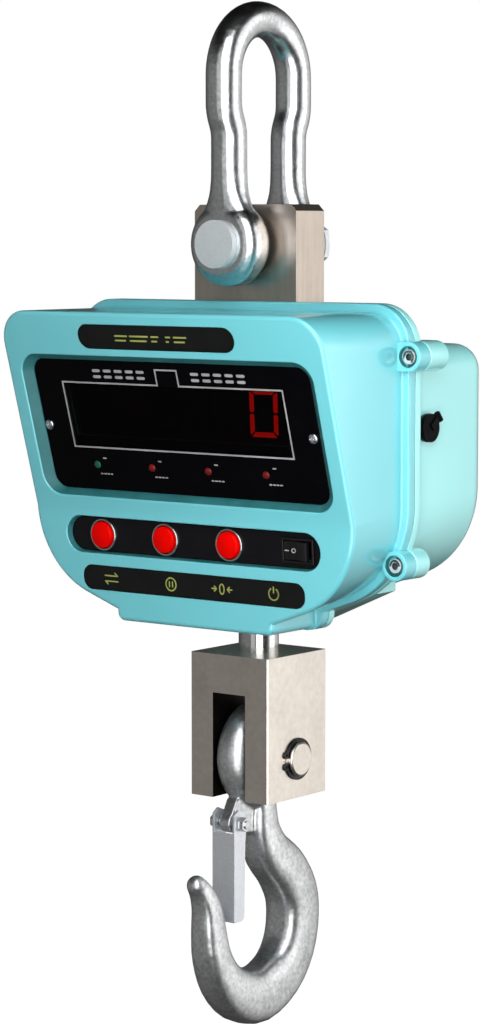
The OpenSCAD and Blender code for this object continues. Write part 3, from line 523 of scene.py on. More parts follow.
# Near black for the inside of the hook block's slot: painted shade between the block and the hook's
# eye.
SLOT_SHADE = ground("slot_painted_shade", (56, 52, 49), (42, 39, 36), (0.4, 0.5))
POLISHED = ground("polished_steel", (222, 222, 222), (186, 186, 188), (0.1, 0.22),
                  (1, 1, 12), 0.08)
BRASS = ground("brass", (205, 172, 96), (170, 138, 72), (0.2, 0.34), (1, 1, 9))
DARK_STEEL = ground("dark_steel", (70, 70, 72), (38, 38, 40), (0.3, 0.48), grain=0.2)
SHEET_STEEL = zinc("plated_sheet", (205, 208, 212), (170, 174, 180), (0.22, 0.36), 0.1)
RUBBER = moulded("black_rubber", (6, 6, 8), (10, 10, 12), (0.42, 0.6), 0.2, 700,
                 Specular_IOR_Level=0.05)
GLOSS_BLACK = moulded("panel_black", (3, 3, 5), (5, 5, 7), (0.12, 0.2), 0.02, 500,
                      Specular_IOR_Level=0.06)
LABEL_BLACK = moulded("label_black", (14, 16, 15), (20, 22, 21), (0.3, 0.42), 0.06, 900,
                      Specular_IOR_Level=0.2)
KEYPAD = moulded("keypad_black", (10, 10, 13), (15, 15, 19), (0.28, 0.38), 0.05, 900,
                 Specular_IOR_Level=0.2)
ROCKER = moulded("rocker_black", (12, 12, 14), (18, 18, 21), (0.28, 0.4), 0.1, 900,
                 Specular_IOR_Level=0.35)
MODULE = moulded("digit_face", (4, 3, 3), (6, 4, 5), (0.5, 0.65), 0.1,
                 Specular_IOR_Level=0.1)
DIM_SEGMENT = moulded("dim_segment", (12, 4, 5), (15, 6, 7), (0.5, 0.6), 0.05,
                      Specular_IOR_Level=0.1)
LIT_SEGMENT = glowing("lit_segment", (255, 16, 8), 2.0, (120, 8, 4))
SILVER_INK = moulded("silver_ink", (150, 150, 152), (178, 178, 180), (0.3, 0.42), 0.05)
OLIVE_INK = moulded("olive_ink", (150, 160, 82), (172, 180, 98), (0.4, 0.5), 0.05)
WHITE_INK = moulded("white_ink", (160, 160, 158), (182, 182, 178), (0.4, 0.5), 0.05)
RED_CAP = moulded("red_button", (224, 2, 0), (230, 5, 0), (0.3, 0.42), 0.04, 500,
                  Specular_IOR_Level=0.05)
RED_LENS = glowing("red_lens", (130, 8, 10), 0.05, (84, 6, 8))
GREEN_LENS = glowing("green_lens", (20, 110, 74), 0.05, (10, 66, 44))
BOARD = moulded("circuit_board", (16, 74, 40), (26, 98, 54), (0.3, 0.44), 0.2, 300)
COMPONENT = moulded("component_black", (26, 26, 28), (44, 44, 46), (0.35, 0.5), 0.15)
CASE_GREY = moulded("battery_case", (70, 78, 88), (88, 96, 106), (0.35, 0.5), 0.2)
SHEATH = moulded("wire_sheath", (150, 28, 26), (176, 40, 34), (0.3, 0.44), 0.1)
SMOKED = smoked()


# ---- camera, light, floor

VIEW_AZ, VIEW_EL = math.radians(38), math.radians(5.5)
CAMERA_AT = Vector((1.08915, -1.41292, -0.11819))
LOOK = Vector((-math.sin(VIEW_AZ) * math.cos(VIEW_EL),
               math.cos(VIEW_AZ) * math.cos(VIEW_EL), -math.sin(VIEW_EL)))
FRAME_H, FOCAL_PX = 1024, 2900    # the image's height and the focal length, in pixels
SENSOR = 36                       # mm
FAR_CLIP = 30


def add_camera():
    cam = bpy.data.cameras.new("camera")
    cam.sensor_width = SENSOR
    cam.lens = FOCAL_PX / FRAME_H * SENSOR
    cam.clip_end = FAR_CLIP
    obj = bpy.data.objects.new("camera", cam)
    bpy.context.scene.collection.objects.link(obj)
    obj.location = CAMERA_AT
    obj.rotation_euler = LOOK.to_track_quat("-Z", "Y").to_euler()
    bpy.context.scene.camera = obj


def soft_box(name, at, aim, width, height, watts):
    lamp = bpy.data.lights.new(name, "AREA")
    lamp.shape = "RECTANGLE"
    lamp.size, lamp.size_y = width, height
    lamp.energy = watts
    obj = bpy.data.objects.new(name, lamp)
    bpy.context.scene.collection.objects.link(obj)
    obj.location = at
    obj.rotation_euler = (Vector(aim) - Vector(at)).to_track_quat("-Z", "Y").to_euler()
    obj.visible_camera = False
    return obj


WORLD_STOPS = ((0.0, 0.24), (0.2, 0.12), (0.5, 0.05), (0.76, 0.05), (0.9, 0.5), (1.0, 0.9))
FLOOR_HALF, FLOOR_BELOW, FLOOR_CELLS = 60.0, 2.4, 24


def add_world():
    """Dim grey, lighter to one side and from above, for reflections and bounced light; plain
    white where the camera looks past the floor."""
    world = bpy.data.worlds.new("studio")
    bpy.context.scene.world = world
    world.use_nodes = True
    t = Tree(world.node_tree)
    back, out = t.nodes["Background"], t.nodes["World Output"]
    split = t.node("SeparateXYZ", Vector=t.nodes.new("ShaderNodeTexCoord").outputs["Generated"])
    x, y, z = split.outputs
    side = t.math("MULTIPLY_ADD", y, 0.39, t.math("MULTIPLY_ADD", x, 0.305, 0.5))
    t.join(t.ramp(side, *((at, (v, v * 0.985, v * 0.96, 1)) for at, v in WORLD_STOPS)),
           back.inputs["Color"])
    t.join(t.span(z, 1.0, 0.07, 0.2, 0.6), back.inputs["Strength"])
    plain = t.node("Background", Color=(1, 1, 1, 1))
    seen = t.nodes.new("ShaderNodeMixShader")
    sees = t.nodes.new("ShaderNodeLightPath").outputs["Is Camera Ray"]
    for value, socket in zip((sees, back.outputs[0], plain.outputs[0]), seen.inputs):
        t.join(value, socket)
    t.join(seen.outputs[0], out.inputs[0])


def add_floor():
    """A flat pale floor far below, which glows more with distance, so that it stays pale."""
    bm = bmesh.new()
    bmesh.ops.create_grid(bm, x_segments=FLOOR_CELLS, y_segments=FLOOR_CELLS, size=FLOOR_HALF)
    mesh = bpy.data.meshes.new("floor")
    bm.to_mesh(mesh)
    bm.free()
    floor = bpy.data.objects.new("floor", mesh)
    bpy.context.scene.collection.objects.link(floor)
    floor.location.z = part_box("hook")[0].z - FLOOR_BELOW
    p = Paint("studio_floor", Roughness=0.9, Emission_Color=(1, 1, 1, 1))
    away = p.nodes.new("ShaderNodeVectorMath")
    away.operation = "LENGTH"
    p.join(p.coord, away.inputs[0])
    p.drive("Emission Strength", p.span(away.outputs["Value"], 0.8, 1.0, 0.4, 3.0))
    p.drive("Base Color", p.colour(p.noise(2, 2), (236, 236, 237), (240, 240, 240), 0.3, 0.7))
    mesh.materials.append(p.m)
    floor.visible_glossy = floor.visible_diffuse = False


# name, place, what it points at, width, height, watts; reflections show only the boxes
BOXES = (("front_box", (0.12, -1.3, -0.05), (0.04, 0, -0.26), 0.6, 1.7, 1.5),
         ("near_box", (0.4, -0.44, -0.12), (0, 0, -0.27), 0.42, 1.3, 5.3),
         ("back_box", (1.0, 0.55, -0.1), (0, 0, -0.3), 0.8, 1.6, 4.4))
FILLS = (("face_fill", (0.38, -0.44, -0.12), (-0.02, -0.1, -0.24), 0.3, 0.5, 1.15),
         ("rear_fill", (-0.9, 1.2, -0.4), (0, 0, -0.3), 1.2, 1.2, 8.0),
         ("left_fill", (-1.3, 0.25, -0.3), (0, 0, -0.3), 1.2, 1.2, 6.0))


def add_lights():
    for row in BOXES:
        soft_box(*row)
    for row in FILLS:
        soft_box(*row).visible_glossy = False


add_camera()
add_world()
add_floor()
add_lights()
bpy.context.scene.view_settings.view_transform = "Standard"


# ---- the two cast shells

WALL = 3.5
FLANGE = 5.5
HALF_W = 122.0
TOP_Z, TOP_R = -165.0, 21.0
LOW_X, LOW_Z, LOW_R, LOW_END = 64.0, -278.0, 58.0, 70.0
FOOT_HW, FOOT_Z, FOOT_R = 60.0, -355.5, 5.0
EDGE_R = 2.6
FACE_DROP = 7.5                   # the underside falls this much towards the face
FLANGE_LIP, FLANGE_ROOT, BODY_ROUND = 0.7, 1.5, 1.8
SEAM_FRONT, SEAM_REAR = -15.4, -14.8
FLANGE_FRONT, FLANGE_BACK = -22.0, -9.0
REAR_TOP, REAR_HW, REAR_CORNER, REAR_Y, REAR_ROUND, RISE = -185.0, 121.0, 16.0, 71.0, 14.0, 4.0
INNER_DEPTH = 10.5
BOSSES = ((129.0, -190.0), (120.0, -313.0))
BOSS_R, BOSS_BACK, HEAD_R, HEAD_DEPTH, THREAD_R, THREAD_DEPTH = 9.0, 5.0, 6.3, 4.1, 2.8, 8.0
NECK_HW, NECK_HW_TOP, NECK_BACK, NECK_TOP, NECK_CORNER = 58.0, 52.8, 28.0, -161.0, 4.0
CELL_HW, CELL_FRONT, CELL_BACK = 41.5, -20.0, 16.45
ROD_HOLE_R = 14.6


def front_outline(o, drop=0.0):
    """The front shell seen along Y, moved outwards by o, its lower corners down by drop."""
    low = LOW_Z - drop
    bend = math.degrees(math.asin((low - BEND_Z) / (LOW_R + o)))
    foot = FOOT_Z - 1 if o > 0 else FOOT_Z - o
    half = arc(HALF_W - TOP_R, TOP_Z - TOP_R, TOP_R + o, 90, 0, 14)
    half += arc(LOW_X, low, LOW_R + o, 0, -bend, 2)
    half += arc(LOW_X, low, LOW_R + o, -bend, -LOW_END, 20)[1:]
    ex, ez = half[-1]
    half.append((FOOT_HW + o, ez - (ex - FOOT_HW - o) * math.tan(math.radians(90 - LOW_END))))
    half += arc(FOOT_HW - FOOT_R, foot + FOOT_R + o, FOOT_R + o, 0, -90, 6)
    return mirrored(half)


BEND_AT = 17                      # index of the outline's point on the bend line


def rear_outline(o, rise):
    half = arc(REAR_HW - REAR_CORNER, REAR_TOP - REAR_CORNER, max(REAR_CORNER + o, 2), 90, 0, 10)
    half += arc(LOW_X, LOW_Z + rise, LOW_R - 1 + o, 0, -LOW_END, 18)
    ex, ez = half[-1]
    half.append((45.0, ez - (ex - 45.0) * math.tan(math.radians(90 - LOW_END))))
    return mirrored(half)


def face_y(z):
    return BEND_Y - (z - BEND_Z) * math.tan(TILT_UP if z > BEND_Z else TILT_LOW)


LIP_STEPS = 5
DRAFT_END = 0.68                  # a pocket's walls slope over this share of its depth


def pocket(bm, fr, lip, floor_w, round_r, floor=None):
    """A recess below a face: a rounded lip, a wall and an open floor ring. lip(o) is the
    outline moved out by o, floor the outline at the bottom."""
    loops = [lift(lip(round_r), 0)]
    loops += [lift(lip(round_r * out), -round_r * down) for down, out in fillet(LIP_STEPS)[1:]]
    if floor:
        loops.append(lift(floor, floor_w * DRAFT_END))
    loops.append(lift(floor or lip(0), floor_w))
    rings = skin(bm, loops, fr)
    # The walls below the lip get the darker teal: painted shade.
    second_material(rings[LIP_STEPS:])
    return rings[0], rings[-1]


def through(bm, fr, outline, w0, w1):
    return skin(bm, [lift(outline, w0), lift(outline, w1)], fr)


DISPLAY_FLOOR = -7.5
STRIP_Y, STRIP_W, STRIP_H, STRIP_FLOOR, STRIP_FACE = -16.4, 195, 22.8, -6.0, -4.0
LABEL_Y, LABEL_HW, LABEL_HALF, LABEL_R = -42.8, 85.4, 7.8, 7
NAME_Y, NAME_W, NAME_H = 111.5, 119, 15.5
LABEL_FLOOR = -0.5                # the labels' shallow pockets
BUTTON_X, BUTTON_HOLE_R = (-70.6, -21.4, 27.8), 8.6
ROCKER_X, ROCKER_HW, ROCKER_HH = 79.1, 10.2, 5.9
LED_X, LED_Y, LED_HOLE_R = (-69.0, -25.7, 17.6, 60.9), 27.2, 3
WINDOW = (83.6, 45.0, 84.6)       # half width, foot and head of the opening behind the digits
PANEL_FACE, PANEL_BACK = -5.1, -7.5
DISPLAY_LIP = panel_shape(111, 8, 99, 13)
DISPLAY_BED = rounded(105.7, 10.7, 94.9, 9.3)
LABEL_SHAPE = panel_shape(LABEL_HW, LABEL_Y - LABEL_HALF, LABEL_Y + LABEL_HALF, LABEL_R)


def front_shell():
    bm = bmesh.new()
    levels = [(-WALL, SEAM_FRONT), (FLANGE - FLANGE_LIP, SEAM_FRONT)]
    levels += [(FLANGE - FLANGE_LIP * out, SEAM_FRONT - FLANGE_LIP * on)
               for on, out in fillet(3)[1:]]
    levels += [(FLANGE - FLANGE_ROOT * inward, FLANGE_FRONT + FLANGE_ROOT * left)
               for inward, left in fillet(5)]
    loops = [lift(front_outline(o), y) for o, y in levels]
    loops += [lift(front_outline(BODY_ROUND * out, FACE_DROP * 0.04 * k),
                   FLANGE_FRONT - BODY_ROUND * on) for k, (on, out) in enumerate(fillet(5))]
    for inward, left in fillet(8):
        loops.append(lift(front_outline(-EDGE_R * inward, FACE_DROP),
                          lambda u, v, b=EDGE_R * left: face_y(v) + b))
    loops.append(lift(front_outline(-EDGE_R - 0.15, FACE_DROP), lambda u, v: face_y(v)))
    outer = skin(bm, loops, FRONTAL)
    inner = ring(bm, lift(front_outline(-WALL), lambda u, v: face_y(v) + INNER_DEPTH), FRONTAL)
    bridge(bm, outer[0], inner)
    n = len(outer[0])

    lip, floor = pocket(bm, UPPER, DISPLAY_LIP, DISPLAY_FLOOR, 1.1, DISPLAY_BED)
    name_lip, name_floor = pocket(bm, UPPER, slot_shape(NAME_W, NAME_H, NAME_Y), LABEL_FLOOR, 0.3)
    strip_lip, strip_floor = pocket(bm, LOWER, slot_shape(STRIP_W, STRIP_H, STRIP_Y), STRIP_FLOOR,
                                    0.9, stadium(STRIP_W - 1.4, STRIP_H - 1.4, STRIP_Y))
    label_lip, label_floor = pocket(bm, LOWER, LABEL_SHAPE, LABEL_FLOOR, 0.2)
    cap(bm, name_floor)
    cap(bm, label_floor)

    up_back = -INNER_DEPTH * math.cos(TILT_UP)
    low_back = -INNER_DEPTH * math.cos(TILT_LOW)
    upper_holes = [through(bm, UPPER, rounded(*WINDOW, 2, 2), DISPLAY_FLOOR, up_back)]
    upper_holes += [through(bm, UPPER, circle(LED_HOLE_R, x, LED_Y, 24), DISPLAY_FLOOR, up_back)
                    for x in LED_X]
    lower_holes = [through(bm, LOWER, circle(BUTTON_HOLE_R, x, STRIP_Y, 32), STRIP_FLOOR, low_back)
                   for x in BUTTON_X]
    rocker_hole = shifted(rounded(ROCKER_HW, -ROCKER_HH, ROCKER_HH, 0.5, 2), ROCKER_X, STRIP_Y)
    lower_holes.append(through(bm, LOWER, rocker_hole, STRIP_FLOOR, low_back))
    fill(bm, [floor] + [h[0] for h in upper_holes])
    fill(bm, [strip_floor] + [h[0] for h in lower_holes])
    face = outer[-1]
    fill(bm, [face, lip, name_lip, strip_lip, label_lip],
         creases=[(face[BEND_AT], face[n - 1 - BEND_AT])])
    fill(bm, [inner] + [h[1] for h in upper_holes + lower_holes],
         creases=[(inner[BEND_AT], inner[n - 1 - BEND_AT])])
    boss_solids(bm, FLANGE_FRONT - 4.0, SEAM_FRONT, True)
    for f in bm.faces:                          # the window's floor is masked black
        if all(abs((v.co / MM - UPPER.o).dot(UPPER.w) - PANEL_BACK) < 0.2 for v in f.verts):
            f.material_index = 2
    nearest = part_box("front_housing")[0].y      # the small radius would pass the CAD's box
    for v in bm.verts:
        v.co.y = max(v.co.y, nearest)
    piece(bm, "front_shell", [CYAN, RECESS_SHADE, MODULE], "scale", ["front_housing"],
          SHELL_SHARP)


def boss_outline(side, x, z, o, square):
    """A screw boss seen along Y; a square one runs straight into the housing's side."""
    r = BOSS_R + o
    if not square:
        return circle(r, side * x, z, 48)
    inner = HALF_W - 2 - x
    half = arc(0, 0, r, -90, 90, 24) + [(inner, r), (inner, -r)]
    return [(side * (x + px), z + pz) for px, pz in half]


def boss_solids(bm, y0, y1, front):
    """Screw bosses, each a closed solid; the front ones have a counterbore."""
    for side in (-1, 1):
        for k, (x, z) in enumerate(BOSSES):
            square = k == 0
            def outline(o, y):
                return lift(boss_outline(side, x, z, o, square), y)
            if front:
                rim = [outline(-0.9 * out, y0 + 0.9 * on) for on, out in fillet(4)]
                outer = skin(bm, rim + [outline(0, y1)], FRONTAL)
                bore = skin(bm, [lift(circle(r, side * x, z, 48), y0 + depth) for r, depth in (
                    (HEAD_R + 0.3, 0), (HEAD_R, 0.35), (HEAD_R, HEAD_DEPTH), (THREAD_R, HEAD_DEPTH),
                    (THREAD_R, THREAD_DEPTH))], FRONTAL)
                # The counterbore's walls get the darker teal: painted shade.
                second_material(bore[2:])
                fill(bm, [outer[0], bore[0]])
                cap(bm, bore[-1])
            else:
                end = y1 if square else y1 - 5
                rim = [outline(-2.0 * inward, end - 2.0 * left) for inward, left in fillet(5)]
                outer = skin(bm, [outline(-0.6, y0), outline(0, y0 + 0.6)] + rim, FRONTAL)
                cap(bm, outer[0])
            cap(bm, outer[-1])


def rear_shell():
    bm = bmesh.new()
    rim = [(FLANGE - FLANGE_LIP * left, SEAM_REAR + FLANGE_LIP * on) for on, left in fillet(3)]
    rim += [(FLANGE - FLANGE_ROOT * inward, FLANGE_BACK - FLANGE_ROOT * left)
            for inward, left in fillet(5)]
    flange = skin(bm, [lift(front_outline(o), y) for o, y in rim], FRONTAL)
    loops = [lift(rear_outline(2.5 * left, 0), FLANGE_BACK + 2.5 * on) for on, left in fillet(6)]
    for inward, left in fillet(14):
        d = REAR_ROUND * inward
        loops.append(lift(rear_outline(-d, RISE + d), REAR_Y - REAR_ROUND * left))
    loops.append(lift(rear_outline(-REAR_ROUND - 0.4, RISE + REAR_ROUND + 0.4), REAR_Y))
    body = skin(bm, loops, FRONTAL)
    fill(bm, [flange[-1], body[0]])
    cap(bm, body[-1])
    hollow = skin(bm, [lift(rear_outline(-WALL, 0), SEAM_REAR),
                       lift(rear_outline(-WALL, RISE), REAR_Y - REAR_ROUND - 7),
                       lift(rear_outline(-REAR_ROUND, RISE + REAR_ROUND), REAR_Y - WALL)], FRONTAL)
    cap(bm, hollow[-1])
    fill(bm, [flange[0], hollow[0]])
    # The rear shell takes the lighter copy of the enamel: painted light.
    obj = finish_mesh(bm, "rear_shell", [CYAN_LIT_REAR], SHELL_SHARP)
    boolean(obj, neck_solid, "UNION")
    boolean(obj, foot_solid, "UNION")
    boolean(obj, cell_opening, "DIFFERENCE")
    boolean(obj, rod_opening, "DIFFERENCE")
    bm = reopened(obj)
    boss_solids(bm, SEAM_REAR, BOSS_BACK, False)
    piece(bm, "rear_shell_cast", CYAN_LIT_REAR, "scale", ["rear_housing"], SHELL_SHARP)


def neck_solid(bm):
    """The collar round the load cell, its top edge rounded."""
    front = FLANGE_BACK - 2
    loops = [lift(rounded(NECK_HW, front, NECK_BACK, NECK_CORNER), REAR_TOP - 6),
             lift(rounded(NECK_HW - 0.5, front, NECK_BACK, NECK_CORNER), REAR_TOP)]
    loops += [lift(rounded(NECK_HW_TOP - 2 * inward, front, NECK_BACK - 2 * inward, NECK_CORNER),
                   NECK_TOP - 2 * left) for inward, left in fillet(5)]
    solid(bm, loops, LEVEL)


def foot_solid(bm):
    """The wedge that carries the foot back under the rear shell, its far edge rounded."""
    def outline(o):
        return [(30, -320), (83 + o, -328), (83 + o, -335.5 - o * 0.4), (38 + o * 0.3, FOOT_Z - o),
                (-38 - o * 0.3, FOOT_Z - o), (-83 - o, -335.5 - o * 0.4), (-83 - o, -328),
                (-30, -320)]
    loops = [lift(outline(0), FLANGE_BACK - 2)]
    loops += [lift(outline(-1.5 * inward), 30.0 - 1.5 * left) for inward, left in fillet(4)]
    solid(bm, loops, FRONTAL)


def cell_opening(bm):
    outline = rounded(CELL_HW, CELL_FRONT, CELL_BACK, 1, 2)
    solid(bm, [lift(outline, REAR_TOP - 20), lift(outline, -140)], LEVEL)


def rod_opening(bm):
    outline = circle(ROD_HOLE_R)
    solid(bm, [lift(outline, FOOT_Z - 5), lift(outline, FOOT_Z + 11)], LEVEL)


front_shell()
rear_shell()

# ---- printed marks

def offset_loop(loop, d):
    """A closed anticlockwise loop moved outwards by d, with mitred corners."""
    out = []
    n = len(loop)
    for i in range(n):
        (ax, ay), (bx, by), (cx, cy) = loop[i - 1], loop[i], loop[(i + 1) % n]
        n1 = Vector((by - ay, ax - bx)).normalized()
        n2 = Vector((cy - by, bx - cx)).normalized()
        m = (n1 + n2) / (1 + n1.dot(n2))
        out.append((bx + m.x * d, by + m.y * d))
    return out


def band(bm, loop, half, fr, w0, w1):
    """A raised line of width 2 * half along a closed loop."""
    wide, thin = offset_loop(loop, half), offset_loop(loop, -half)
    rings = skin(bm, [lift(wide, w0), lift(wide, w1), lift(thin, w1), lift(thin, w0)], fr)
    bridge(bm, rings[-1], rings[0])


def bar(bm, x0, y0, x1, y1, half, fr, w0, w1):
    """A raised straight line with round ends."""
    a = math.degrees(math.atan2(y1 - y0, x1 - x0))
    loop = arc(x1, y1, half, a - 90, a + 90, 5) + arc(x0, y0, half, a + 90, a + 270, 5)
    solid(bm, [lift(loop, w0), lift(loop, w1)], fr)


def plate(bm, outline, fr, w0, w1, soft, holes=()):
    """A flat plate with softened front edges and holes that are outlines."""
    loops = [lift(outline(0), w0)]
    loops += [lift(outline(-soft * inward), w1 - soft * left) for inward, left in fillet(4)]
    rings = skin(bm, loops, fr)
    back = [skin(bm, [lift(h(0), w0), lift(h(0), w1 - soft * 0.5), lift(h(soft * 0.5), w1)], fr)
            for h in holes]
    fill(bm, [rings[0]] + [h[0] for h in back])
    fill(bm, [rings[-1]] + [h[-1] for h in back])


INK = 0.12
DIGIT_Y, DIGIT_PITCH, DIGITS = 64.8, 26.2, 6
LINE_HW, LINE_LO, LINE_HI, TAB_L, TAB_R, TAB_HI = 84.0, 38.6, 80.3, -9.0, 7.4, 90.0
LENS_R = 2.5
PANEL_SCREW, PANEL_SCREW_R = (101.0, 52.0), 1.6
ON_PANEL = (UPPER, PANEL_FACE - 0.05, PANEL_FACE + INK)


def on_display(bm, name, material):
    piece(bm, name, material, "scale", ["display_panel"])


def display_border():
    """Black border of the display with openings for the window, lamps and screws."""
    bm = bmesh.new()
    holes = [panel_shape(LINE_HW - 1.4, LINE_LO + 1.4, LINE_HI - 1.2, 1.5, 3)]
    holes += [disc_shape(LENS_R + 0.1, x, LED_Y, 24) for x in LED_X]
    holes += [disc_shape(PANEL_SCREW_R, s * PANEL_SCREW[0], PANEL_SCREW[1], 24) for s in (-1, 1)]
    plate(bm, panel_shape(105.4, 11, 94.6, 9), UPPER, PANEL_BACK, PANEL_FACE, 0.5, holes)
    on_display(bm, "display_border", GLOSS_BLACK)
    bm = bmesh.new()
    plate(bm, panel_shape(LINE_HW - 1.5, LINE_LO + 1.5, LINE_HI - 1.3, 1.4, 3), UPPER,
          PANEL_BACK, PANEL_FACE - 0.05, 0.2)
    on_display(bm, "display_window", SMOKED)


WORD_X, DASHES, DASH_PITCH, DASH_HALF = 38.0, 5, 8.6, 2.2


def display_print():
    """The printed line round the window, and plain dashes where the real one has words."""
    bm = bmesh.new()
    frame_line = [(-LINE_HW, LINE_LO), (LINE_HW, LINE_LO), (LINE_HW, LINE_HI), (TAB_R, LINE_HI),
                  (TAB_R, TAB_HI), (TAB_L, TAB_HI), (TAB_L, LINE_HI), (-LINE_HW, LINE_HI)]
    band(bm, frame_line, 0.5, *ON_PANEL)
    for centre in (-WORD_X, WORD_X):
        for i in range(DASHES):
            x = centre + (i - 2) * DASH_PITCH
            for y in (84.4, 88.2):
                bar(bm, x - DASH_HALF, y, x + DASH_HALF, y, 0.9, *ON_PANEL)
    on_display(bm, "display_line", SILVER_INK)
    bm = bmesh.new()
    for x in LED_X:
        bar(bm, x + 6.2, LED_Y + 4.6, x + 8.2, LED_Y + 4.6, 0.4, *ON_PANEL)
        for k in range(4):
            bar(bm, x + 2 + 2.6 * k, LED_Y - 5.6, x + 3.2 + 2.6 * k, LED_Y - 5.6, 0.42, *ON_PANEL)
    on_display(bm, "lamp_marks", SILVER_INK)


BED = -18                         # the display board, which lamps and digits stand on


def lamps():
    r, rim, dome = LENS_R, PANEL_FACE - 0.6, 1.1
    for i, x in enumerate(LED_X):
        bm = bmesh.new()
        profile = [(0, BED), (r - 0.1, BED), (r, BED + 0.1), (r, rim)]
        profile += [(r * math.cos(a), rim + dome * math.sin(a)) for a in quarter(6)[1:-1]]
        profile.append((0, PANEL_FACE + 0.5))
        lathe(bm, profile, moved(UPPER, x, LED_Y), 28)
        lens = GREEN_LENS if i == 0 else RED_LENS
        piece(bm, "lamp_%d" % (i + 1), lens, "scale", ["indicator_leds"])


# ---- digits

SEG_W, SEG_H, SEG_T, SEG_GAP = 20.4, 29.6, 3.1, 0.6
SEG_LEAN = math.tan(math.radians(9.6))
MODULE_HW, MODULE_HH = 12.9, 19
POINT_X, POINT_Y, POINT_R = 11.6, -13.4, 1.3
LIT = {"a", "b", "c", "d", "e", "f"}


def segment_outlines():
    """The seven bars of a digit, centred on the origin, upright."""
    hw, hh, t, g = SEG_W / 2, SEG_H / 2, SEG_T, SEG_GAP
    top = [(-hw + t * 0.5, hh), (hw - t * 0.5, hh), (hw - t * 0.5 + 0.3, hh - 0.3),
           (hw - t - g, hh - t), (-hw + t + g, hh - t), (-hw + t * 0.5 - 0.3, hh - 0.3)]
    right = [(hw, hh - t * 0.5 - g), (hw, g * 1.6), (hw - t * 0.5, g * 1.6 - 0.6 * g),
             (hw - t, g * 1.6), (hw - t, hh - t - g), (hw - 0.4, hh - t * 0.5)]
    middle = [(-hw + t, 0), (-hw + t + 1.6, t / 2), (hw - t - 1.6, t / 2), (hw - t, 0),
              (hw - t - 1.6, -t / 2), (-hw + t + 1.6, -t / 2)]
    flip = lambda pts, sx, sy: [(x * sx, y * sy) for x, y in pts]
    return {"a": top, "b": right, "c": flip(right, 1, -1), "d": flip(top, 1, -1),
            "e": flip(right, -1, -1), "f": flip(right, -1, 1), "g": middle}


def digits():
    """Six modules whose last one shows a nought."""
    dim, lit, face = bmesh.new(), bmesh.new(), bmesh.new()
    top = PANEL_BACK - 0.3
    w0, w1 = top - 0.05, top + 0.12
    outline = panel_shape(MODULE_HW, DIGIT_Y - MODULE_HH, DIGIT_Y + MODULE_HH, 0.8, 2)
    for i in range(DIGITS):
        cx = (i - (DIGITS - 1) / 2) * DIGIT_PITCH
        solid(face, [lift(shifted(outline(o), cx, 0), w)
                     for o, w in ((0, BED), (0, top - 0.4), (-0.4, top))], UPPER)
        for key, pts in segment_outlines().items():
            bm = lit if i == DIGITS - 1 and key in LIT else dim
            leaning = [(cx + x + (y * SEG_LEAN), DIGIT_Y + y) for x, y in pts]
            solid(bm, [lift(leaning, w0), lift(leaning, w1)], UPPER)
        x, y = cx + POINT_X, DIGIT_Y + POINT_Y
        bar(dim, x, y, x, DIGIT_Y - 13.2, POINT_R, UPPER, w0, w1)
    for bm, name, material in ((face, "digit_modules", MODULE),
                               (dim, "digit_segments_off", DIM_SEGMENT),
                               (lit, "digit_segments_on", LIT_SEGMENT)):
        piece(bm, name, material, "scale", ["led_digits"])


# ---- labels

PLATE_TOP = 0.2
ON_PLATE = (UPPER, 0.15, PLATE_TOP + INK * 0.5)
ON_LABEL = (LOWER, 0.15, PLATE_TOP + INK * 0.5)
NAME_DASHES = ((-30, -21), (-18.5, -5), (-2, 3), (9, 12), (15, 24))
SYMBOL_HALF = 0.42                # half the width of a symbol's lines


def name_plate():
    bm = bmesh.new()
    plate(bm, slot_shape(NAME_W - 0.4, NAME_H - 0.4, NAME_Y), UPPER, LABEL_FLOOR, PLATE_TOP, 0.12)
    piece(bm, "name_plate", LABEL_BLACK, "scale", ["top_nameplate"])
    bm = bmesh.new()
    for x0, x1 in NAME_DASHES:
        bar(bm, x0, NAME_Y + 0.9, x1, NAME_Y + 0.9, 0.5, *ON_PLATE)
        bar(bm, x0, NAME_Y - 1.9, x1 - 1.5, NAME_Y - 1.9, 0.5, *ON_PLATE)
    piece(bm, "name_plate_marks", OLIVE_INK, "scale", ["top_nameplate"])


